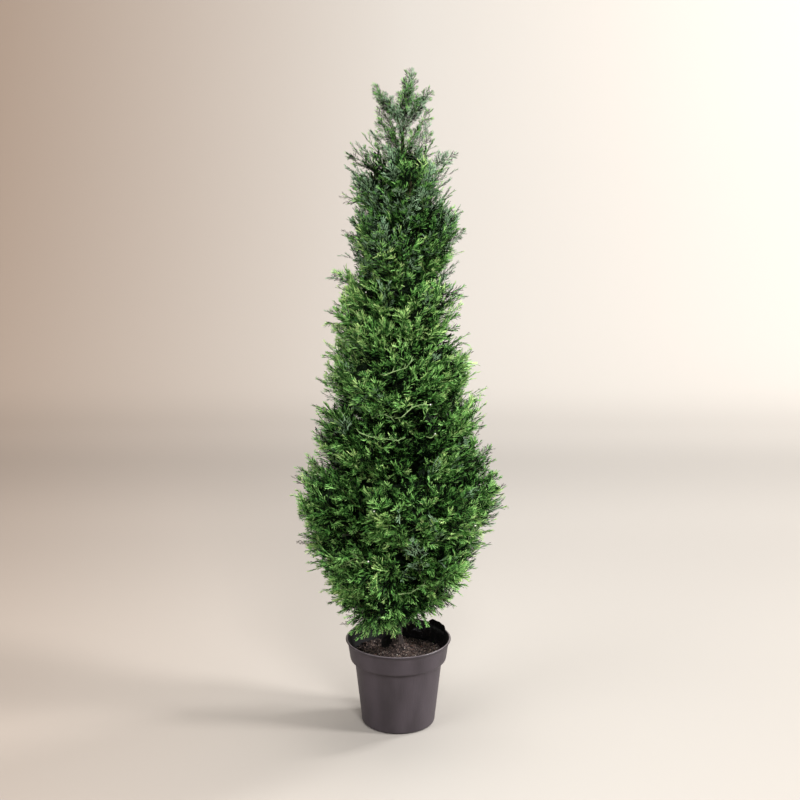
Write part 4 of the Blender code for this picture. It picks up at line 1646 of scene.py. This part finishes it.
    def cover(self, place: np.ndarray) -> float:
        """How far inside the crown's outline a place lies, measured level and away from the trunk.

        Args:
            place: the place.

        Returns:
            The distance, or a negative one outside the crown.
        """
        centre = self.trunk.axis_at(place[2])
        out = (place - centre) * LEVEL
        hit = self.surface_out(centre, unit(out))
        if hit is None:
            return -1.0
        return float(np.linalg.norm((np.array(hit) - centre)[:2]) - np.linalg.norm(out))

    def limb_path(self, mass: str) -> list[np.ndarray]:
        """The line of a mass's limb, from the trunk's bark into the middle of the mass.

        Args:
            mass: the mass's node.

        Returns:
            Places along the limb.
        """
        low, high = (np.array(corner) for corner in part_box(mass))
        if mass == LEADER:
            span = self.trunk.high - low[2] - 0.004
            steps = self.limb_places
            return [self.trunk.axis_at(low[2] + span * step / (steps - 1)) for step in range(steps)]
        start, end, _ = limb_of(mass, self.trunk)
        goal = ((low + high) / 2.0 + node_places(mass).mean(axis=0)) / 2.0
        control = end + unit(end - start) * (float(np.linalg.norm(goal - end)) * 1.25) * 0.5
        goal = end + (goal - end) * 1.25 + UP * 0.012
        path = [start, end]
        for step in range(1, self.limb_curve + 1):
            share = step / self.limb_curve
            path.append(end * (1.0 - share) ** 2 + control * 2.0 * share * (1.0 - share) + goal * share**2)
        return path

    def grow_branches(self) -> None:
        """Joins every spray's base to its mass's limb by twigs, nearest first."""
        for mass in FOLIAGE:
            tree = BranchTree()
            tree.start(self.limb_path(mass))
            limb = np.array(tree.places)
            held = [spray.base for spray in self.sprays if spray.mass == mass]
            held += [place for owner, place in self.sockets if owner == mass]
            held.sort(key=lambda place: float(np.linalg.norm(limb - place, axis=1).min()))
            for place in held:
                tree.grow_to(place)
            self.trees[mass] = tree

    def radius_for(self, load: int) -> float:
        """A twig's radius, by how many sprays it carries."""
        return self.twig_radius * max(load, 1) ** self.load_power

    def build_limbs(self) -> bpy.types.Object:
        """Sweeps every mass's limb with its bark.

        Returns:
            The limbs, joined.
        """
        shape = bmesh.new()
        for mass in (name for name in FOLIAGE if name != LEADER):
            tree = self.trees[mass]
            path = [Vector(place) for place in tree.places[: tree.limb_count]]
            path = resampled([path[0] - (path[1] - path[0]) * 0.3, *path], self.limb_step)
            first, last = limb_of(mass, self.trunk)[2], self.twig_radius * 2.0
            radii = [first + (last - first) * index / (len(path) - 1) for index in range(len(path))]
            for ring, centre in zip(sweep(shape, path, radii, self.limb_sides), path):
                for vert in ring:
                    vert.co += (vert.co - centre) * 0.22 * noise.noise(vert.co * 260.0)
        return add_piece("limb_bark", mesh_of("limb_bark", shape), LIMB_BARK, BOUGHS)

    def build_twigs(self) -> bpy.types.Object:
        """Joins all the twigs and the stems of the sprays into one piece.

        Returns:
            The twigs.
        """
        rows = []
        for tree in self.trees.values():
            for index in range(tree.limb_count, len(tree.places)):
                parent = tree.parents[index]
                foot = min(self.radius_for(tree.loads[parent]), self.thickest_twig)
                end = self.radius_for(tree.loads[index])
                rows.append((tree.places[parent], tree.places[index], foot, end))
        for path in self.stems:
            steps = len(path) - 1
            radii = [self.stem_radius * (1.0 - self.stem_taper * index / steps) for index in range(steps + 1)]
            rows.extend(zip(path, path[1:], radii, radii[1:]))
        columns = [np.array(column) for column in zip(*rows)]
        mesh = mesh_from_arrays("cedar_twigs", *rods(*columns, sides=3))
        return add_piece("cedar_twigs", mesh, TONES[Tone.TWIG], FOLIAGE)

    def build_sprays(self) -> list[bpy.types.Object]:
        """Joins the shoots of all fans into pieces, one or more to a tone.

        Returns:
            The pieces.
        """
        shapes = [pattern.outlines() for pattern in self.patterns]
        groups = {}
        for fan in self.fans:
            for part in Part:
                key = (fan.pattern, part, self.SHOOTS[fan.tone][part.value])
                groups.setdefault(key, []).append(fan)
        heaps = {tone: [] for tone in Tone}
        for (pattern, part, tone), fans in groups.items():
            places = shapes[pattern][part]
            if len(places) == 0:
                continue
            along = np.array([fan.along for fan in fans])
            face = np.array([fan.face for fan in fans])
            sizes = np.array([fan.size for fan in fans])[:, None, None]
            frames = np.stack((np.cross(along, face), along, face), axis=2) * sizes
            origins = np.array([fan.origin for fan in fans])
            curls = np.array([fan.curl for fan in fans])[:, None]
            curled = np.repeat(places[None], len(fans), axis=0)
            curled[:, :, 2] += curls * places[None, :, 1] ** 2 - self.fan_arch * places[None, :, 0] ** 2
            moved = np.einsum("kij,knj->kni", frames, curled) + origins[:, None, :]
            heaps[tone].append(moved.reshape(-1, len(FanPattern.OUTLINE), 3))
        return [piece for tone, heap in heaps.items() if heap for piece in self.join_heap(tone, heap)]

    @staticmethod
    def join_heap(tone: Tone, heap: list[np.ndarray]) -> list[bpy.types.Object]:
        """Joins one tone's shoots into pieces that stay under the limit on triangles.

        Args:
            tone: the tone.
            heap: the outlines of each group of shoots.

        Returns:
            The pieces, from the lowest up.
        """
        shoots = np.concatenate(heap)
        shoots = shoots[np.argsort(shoots[:, 0, 2], kind="stable")]
        number = max(1, math.ceil(len(shoots) * len(FanPattern.FACES) / MOST_TRIANGLES))
        made = []
        for index, part in enumerate(np.array_split(shoots, number)):
            name = f"cedar_sprays_{tone.value}" + (f"_{index + 1}" if number > 1 else "")
            faces = repeated(FanPattern.FACES, len(part), len(FanPattern.OUTLINE))
            mesh = mesh_from_arrays(name, part.reshape(-1, 3), faces)
            made.append(add_piece(name, mesh, TONES[tone], FOLIAGE))
        return made


@dataclass
class PaleStems:
    """Moulded stems left bare: some lie across the front and more, dealt at random, all round."""

    crown: Crown
    seed: int = 31
    more: int = 16
    heights: Range = (0.38, 0.90)  # of those
    radius: float = 0.00105
    taper: float = 0.35
    lift: float = -0.0010
    sides: int = 6
    step: float = 0.0035
    sunk: float = 0.016  # how far the ends that don't show go into the crown
    reach_down: float = 0.008  # how far the crown may fall back from under a stem
    nub_every: float = 0.011
    nub_radii: Triple = (0.0006, 0.0007, 0.0003)
    nub_sides: int = 5
    end_swell: float = 1.4

    # places on the upright plane through the trunk, as the camera sees them, whether the last is a cut end,
    # and how far the stem stands out
    SEEN = (
        (((-70, 568), (-49, 558), (-15, 551), (0, 550)), False, 7),
        (((4, 596), (27, 613), (40, 618), (57, 620)), True, 5),
        (((-24, 672), (-6, 679), (14, 686), (24, 700)), False, 0),
        (((-116, 325), (-71, 329), (-40, 334), (-10, 335)), True, 15),
        (((14, 335), (30, 336), (44, 337)), False, 8),
        (((-6, 246), (22, 258), (50, 268)), False, 6),
        (((20, 204), (44, 192), (64, 192)), True, 0),
        (((-46, 594), (-30, 600), (-14, 594)), False, 2),
        (((-52, 408), (-50, 412), (-46, 414)), True, 4),
        (((60, 556), (64, 560), (67, 564)), True, 2),
    )

    def on_crown(self, start: np.ndarray, way: np.ndarray) -> np.ndarray | None:
        """Where a line of sight first meets the crown.

        Args:
            start: where it starts.
            way: its direction.

        Returns:
            The place, or nothing if it misses.
        """
        hit = self.crown.tree.ray_cast(Vector(start), Vector(unit(way)))[0]
        return None if hit is None else np.array(hit)

    def build(self, eye: Triple) -> list[bpy.types.Object]:
        """Lays the stems on the crown and closes the cut ones with pale ends.

        Args:
            eye: where the camera stands.

        Returns:
            The stems and their ends.
        """
        rng = np.random.default_rng(self.seed)
        eye = np.array(eye)
        paths = []
        for line, is_cut, lift in self.SEEN:
            places = [self.on_crown(eye, metres(across, 0, up) - eye) for across, up in line]
            paths.append((places, is_cut, lift / 1000.0))
        for _ in range(self.more):
            turn, height = rng.uniform(-0.1, 1.1) * math.pi, rng.uniform(*self.heights)
            slope, side = rng.normal(scale=0.35), 1.0 if rng.uniform() < 0.5 else -1.0
            places = []
            for step in range(4):
                way = level_way(turn + side * 0.10 * step)
                centre = self.crown.trunk.axis_at(height + slope * 0.013 * step)
                places.append(self.on_crown(centre + way * OUTSIDE, -way))
            paths.append((places, bool(rng.uniform() < 0.5), 0.0))
        shape, ends = bmesh.new(), bmesh.new()
        for places, is_cut, lift in paths:
            places = [place for place in places if place is not None]
            if len(places) > 2:
                self.lay(rng, shape, ends, places, is_cut, lift)
        stems = add_piece("pale_stems", mesh_of("pale_stems", shape), PALE_STEM, [])
        return [stems, add_piece("cut_ends", mesh_of("cut_ends", ends), CUT_END, [])]

    def lay(
        self, rng: np.random.Generator, shape: bmesh.types.BMesh, ends: bmesh.types.BMesh,
        places: list[np.ndarray], is_cut: bool, lift: float,
    ) -> None:
        """Sweeps one stem: its start is sunk in the crown, and its far end too unless it is cut.

        Args:
            rng: the random draws.
            shape: the bmesh that takes the stem.
            ends: the bmesh that takes its cut end.
            places: places on the crown's surface.
            is_cut: whether its far end shows.
            lift: how much further out of the crown it lies than the others.
        """
        centre = self.crown.trunk.axis_at(places[0][2])
        out = unit((places[len(places) // 2] - centre) * LEVEL)
        outs = [float(np.dot(place - centre, out)) for place in places]
        level = max(min(outs), outs[1] - self.reach_down) + self.lift + lift
        path = [place + out * (level - own) for place, own in zip(places, outs)]
        path.insert(0, path[0] - out * self.sunk + (path[0] - path[1]) * 0.3)
        if not is_cut:
            path.append(path[-1] - out * self.sunk + (path[-1] - path[-2]) * 0.3)
        line = resampled([Vector(place) for place in path], self.step)
        radii = [self.radius * (1.0 - self.taper * index / len(line)) for index in range(len(line))]
        sweep(shape, line, radii, self.sides)
        every = max(2, int(self.nub_every / self.step))
        for index in range(every, len(line) - 2, every):
            along = (line[index + 1] - line[index]).normalized()
            lean = Matrix.Rotation(rng.uniform(0.0, FULL_TURN), 3, along)
            aside = lean @ along.orthogonal().normalized()
            tip = line[index] + (along * 0.8 + aside) * rng.uniform(0.003, 0.008)
            sweep(shape, [line[index], (line[index] + tip) / 2.0, tip], self.nub_radii, self.nub_sides)
        if is_cut:
            end = Matrix.Translation(line[-1])
            bmesh.ops.create_icosphere(ends, subdivisions=2, radius=self.radius * self.end_swell, matrix=end)


@dataclass
class Studio:
    """A pale seamless cove, soft lights and a camera where the photographer stood."""

    camera_place: Triple = (0.0032, -3.14, 1.475)
    camera_tilt: float = 15.1  # degrees below level
    lens: float = 81.0
    sensor: float = 36.0
    # the paper's colour runs from left to right between these two: painted shade, darker to the left
    left_colour: Triple = (152, 135, 121)
    right_colour: Triple = (170, 165, 159)
    sky_colour: Triple = (246, 242, 238)
    sky_strength: float = 0.30
    grade_from: float = -1.5
    grade_to: float = 0.05
    depth_from: float = -1.0  # the paper's painted shade also runs from the front to the back
    depth_to: float = 4.0
    wall_start: float = 2.05
    cove_radius: float = 1.7
    cove_steps: int = 16
    half_width: float = 6.0
    front: float = -6.0
    wall_height: float = 5.0

    # how far back, as a share of that way, and how light the paper's painted shade leaves it there
    DEPTH_SHADE = (
        (0.08, 1.0), (0.26, 0.90), (0.42, 0.78), (0.53, 0.68), (0.60, 0.77), (0.68, 0.87), (0.88, 0.82),
    )
    # each light's name, place, target, side, watts and linear colour
    SOFTBOXES = (
        ("key", (0.55, -3.1, 3.2), (0.0, 0.0, 0.62), 1.0, 117.0, (1.0, 0.99, 0.985)),
        ("fill", (-2.6, -2.0, 2.0), (-0.2, 0.0, 0.30), 2.0, 68.0, (1.0, 0.99, 0.985)),
        ("side", (7.5, -1.75, 3.2), (0.0, 0.0, 0.2), 1.5, 830.0, (1.0, 0.99, 0.98)),
        ("top", (0.1, 0.3, 3.2), (0.0, 0.0, 0.9), 1.6, 52.0, (1.0, 0.99, 0.98)),
        ("backdrop", (2.9, 1.2, 3.6), (1.6, 3.4, 2.6), 1.4, 350.0, (1.0, 0.995, 0.99)),
    )

    def build(self) -> None:
        """Builds the cove, the lights, the world and the camera."""
        self.build_cove()
        for softbox in self.SOFTBOXES:
            self.add_softbox(*softbox)
        world = bpy.data.worlds.new("soft_room")
        world.use_nodes = True
        sky = next(node for node in world.node_tree.nodes if node.type == "BACKGROUND")
        feed(world.node_tree, sky, {"Color": linear(self.sky_colour), "Strength": self.sky_strength})
        bpy.context.scene.world = world
        bpy.context.scene.view_settings.view_transform = "Standard"
        self.place_camera()

    def build_cove(self) -> None:
        """Extrudes the floor, the cove and the wall from one profile."""
        shape = bmesh.new()
        profile = [(self.front, 0.0), (self.wall_start, 0.0)]
        for step in range(1, self.cove_steps + 1):
            angle = math.pi / 2.0 * step / self.cove_steps
            away = self.wall_start + self.cove_radius * math.sin(angle)
            profile.append((away, self.cove_radius * (1.0 - math.cos(angle))))
        profile.append((self.wall_start + self.cove_radius, self.wall_height))
        edges = chained(shape, [(-self.half_width, away, up) for away, up in profile])[1]
        grown = bmesh.ops.extrude_edge_only(shape, edges=edges)["geom"]
        ring = [item for item in grown if isinstance(item, bmesh.types.BMVert)]
        bmesh.ops.translate(shape, verts=ring, vec=(2.0 * self.half_width, 0.0, 0.0))
        cove = bpy.data.objects.new("studio_cove", mesh_of("studio_cove", shape))
        bpy.context.scene.collection.objects.link(cove)
        cove.data.materials.append(self.paper())

    def paper(self) -> bpy.types.Material:
        """The paper, with painted shade: warm grey at the left, nearly white at the right and darkest across
        the far floor.

        Returns:
            The material.
        """
        tree, shader, material = new_material("paper_painted_shade")
        axes = add_node(tree, "SeparateXYZ", {"Vector": add_node(tree, "TexCoord", {})["Object"]})
        across = {"From Min": self.grade_from, "From Max": self.grade_to, "Value": axes["X"]}
        share = add_node(tree, "MapRange", across)["Result"]
        ends = {"Factor": share, "A": linear(self.left_colour), "B": linear(self.right_colour)}
        blend = add_node(tree, "Mix", ends, data_type="RGBA")["Result"]
        back = {"From Min": self.depth_from, "From Max": self.depth_to, "Value": axes["Y"]}
        ramp = tree.nodes.new("ShaderNodeValToRGB")
        ramp.color_ramp.interpolation = "EASE"
        stops = ramp.color_ramp.elements
        while len(stops) < len(self.DEPTH_SHADE):
            stops.new(0.5)
        for stop, (position, light) in zip(stops, self.DEPTH_SHADE):
            stop.position = position
            stop.color = (light, light, light, 1.0)
        feed(tree, ramp, {"Fac": add_node(tree, "MapRange", back)["Result"]})
        shades = {"Factor": 1.0, "A": blend, "B": ramp.outputs["Color"]}
        graded = add_node(tree, "Mix", shades, data_type="RGBA", blend_type="MULTIPLY")["Result"]
        feed(tree, shader, {"Roughness": 0.85, "Specular IOR Level": 0.1, "Base Color": graded})
        return material

    @staticmethod
    def add_softbox(
        name: str, place: Triple, target: Triple, side: float, watts: float, colour: Triple
    ) -> None:
        """Hangs a square soft light.

        Args:
            name: the light's name.
            place: where it hangs.
            target: what it points at.
            side: its side.
            watts: its power.
            colour: its linear colour.
        """
        light = bpy.data.lights.new(name, "AREA")
        light.shape = "SQUARE"
        light.size = side
        light.energy = watts
        light.color = colour
        lamp = bpy.data.objects.new(name, light)
        bpy.context.scene.collection.objects.link(lamp)
        lamp.location = place
        aim = Vector(target) - Vector(place)
        lamp.rotation_euler = aim.to_track_quat("-Z", "Y").to_euler()

    def place_camera(self) -> None:
        """Sets the camera at the photograph's viewing angle."""
        camera = bpy.data.cameras.new("camera")
        camera.lens = self.lens
        camera.sensor_width = self.sensor
        camera.clip_end = 60.0
        eye = bpy.data.objects.new("camera", camera)
        bpy.context.scene.collection.objects.link(eye)
        eye.location = self.camera_place
        eye.rotation_euler = (math.radians(90.0 - self.camera_tilt), 0.0, 0.0)
        bpy.context.scene.camera = eye


def corners(box: tuple) -> list[list[float]]:
    """A box's two corners as plain lists of numbers."""
    return [[float(value) for value in corner] for corner in box]


def main() -> None:
    """Builds the plant from its pot up, then the studio round it."""
    logging.basicConfig(level=logging.INFO, format="%(message)s")
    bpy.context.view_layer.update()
    pot = NurseryPot()
    pot.build()
    SoilBed(pot).build()
    LinerFilm(pot).build()
    trunk = Trunk()
    trunk.build()
    crown = Crown(trunk)
    crown.grow()
    log.info("%d sprays, %d fans", len(crown.sprays), len(crown.fans))
    crown.build_limbs()
    crown.build_twigs()
    crown.build_sprays()
    studio = Studio()
    PaleStems(crown).build(studio.camera_place)
    studio.build()


if __name__ == "__main__":
    main()
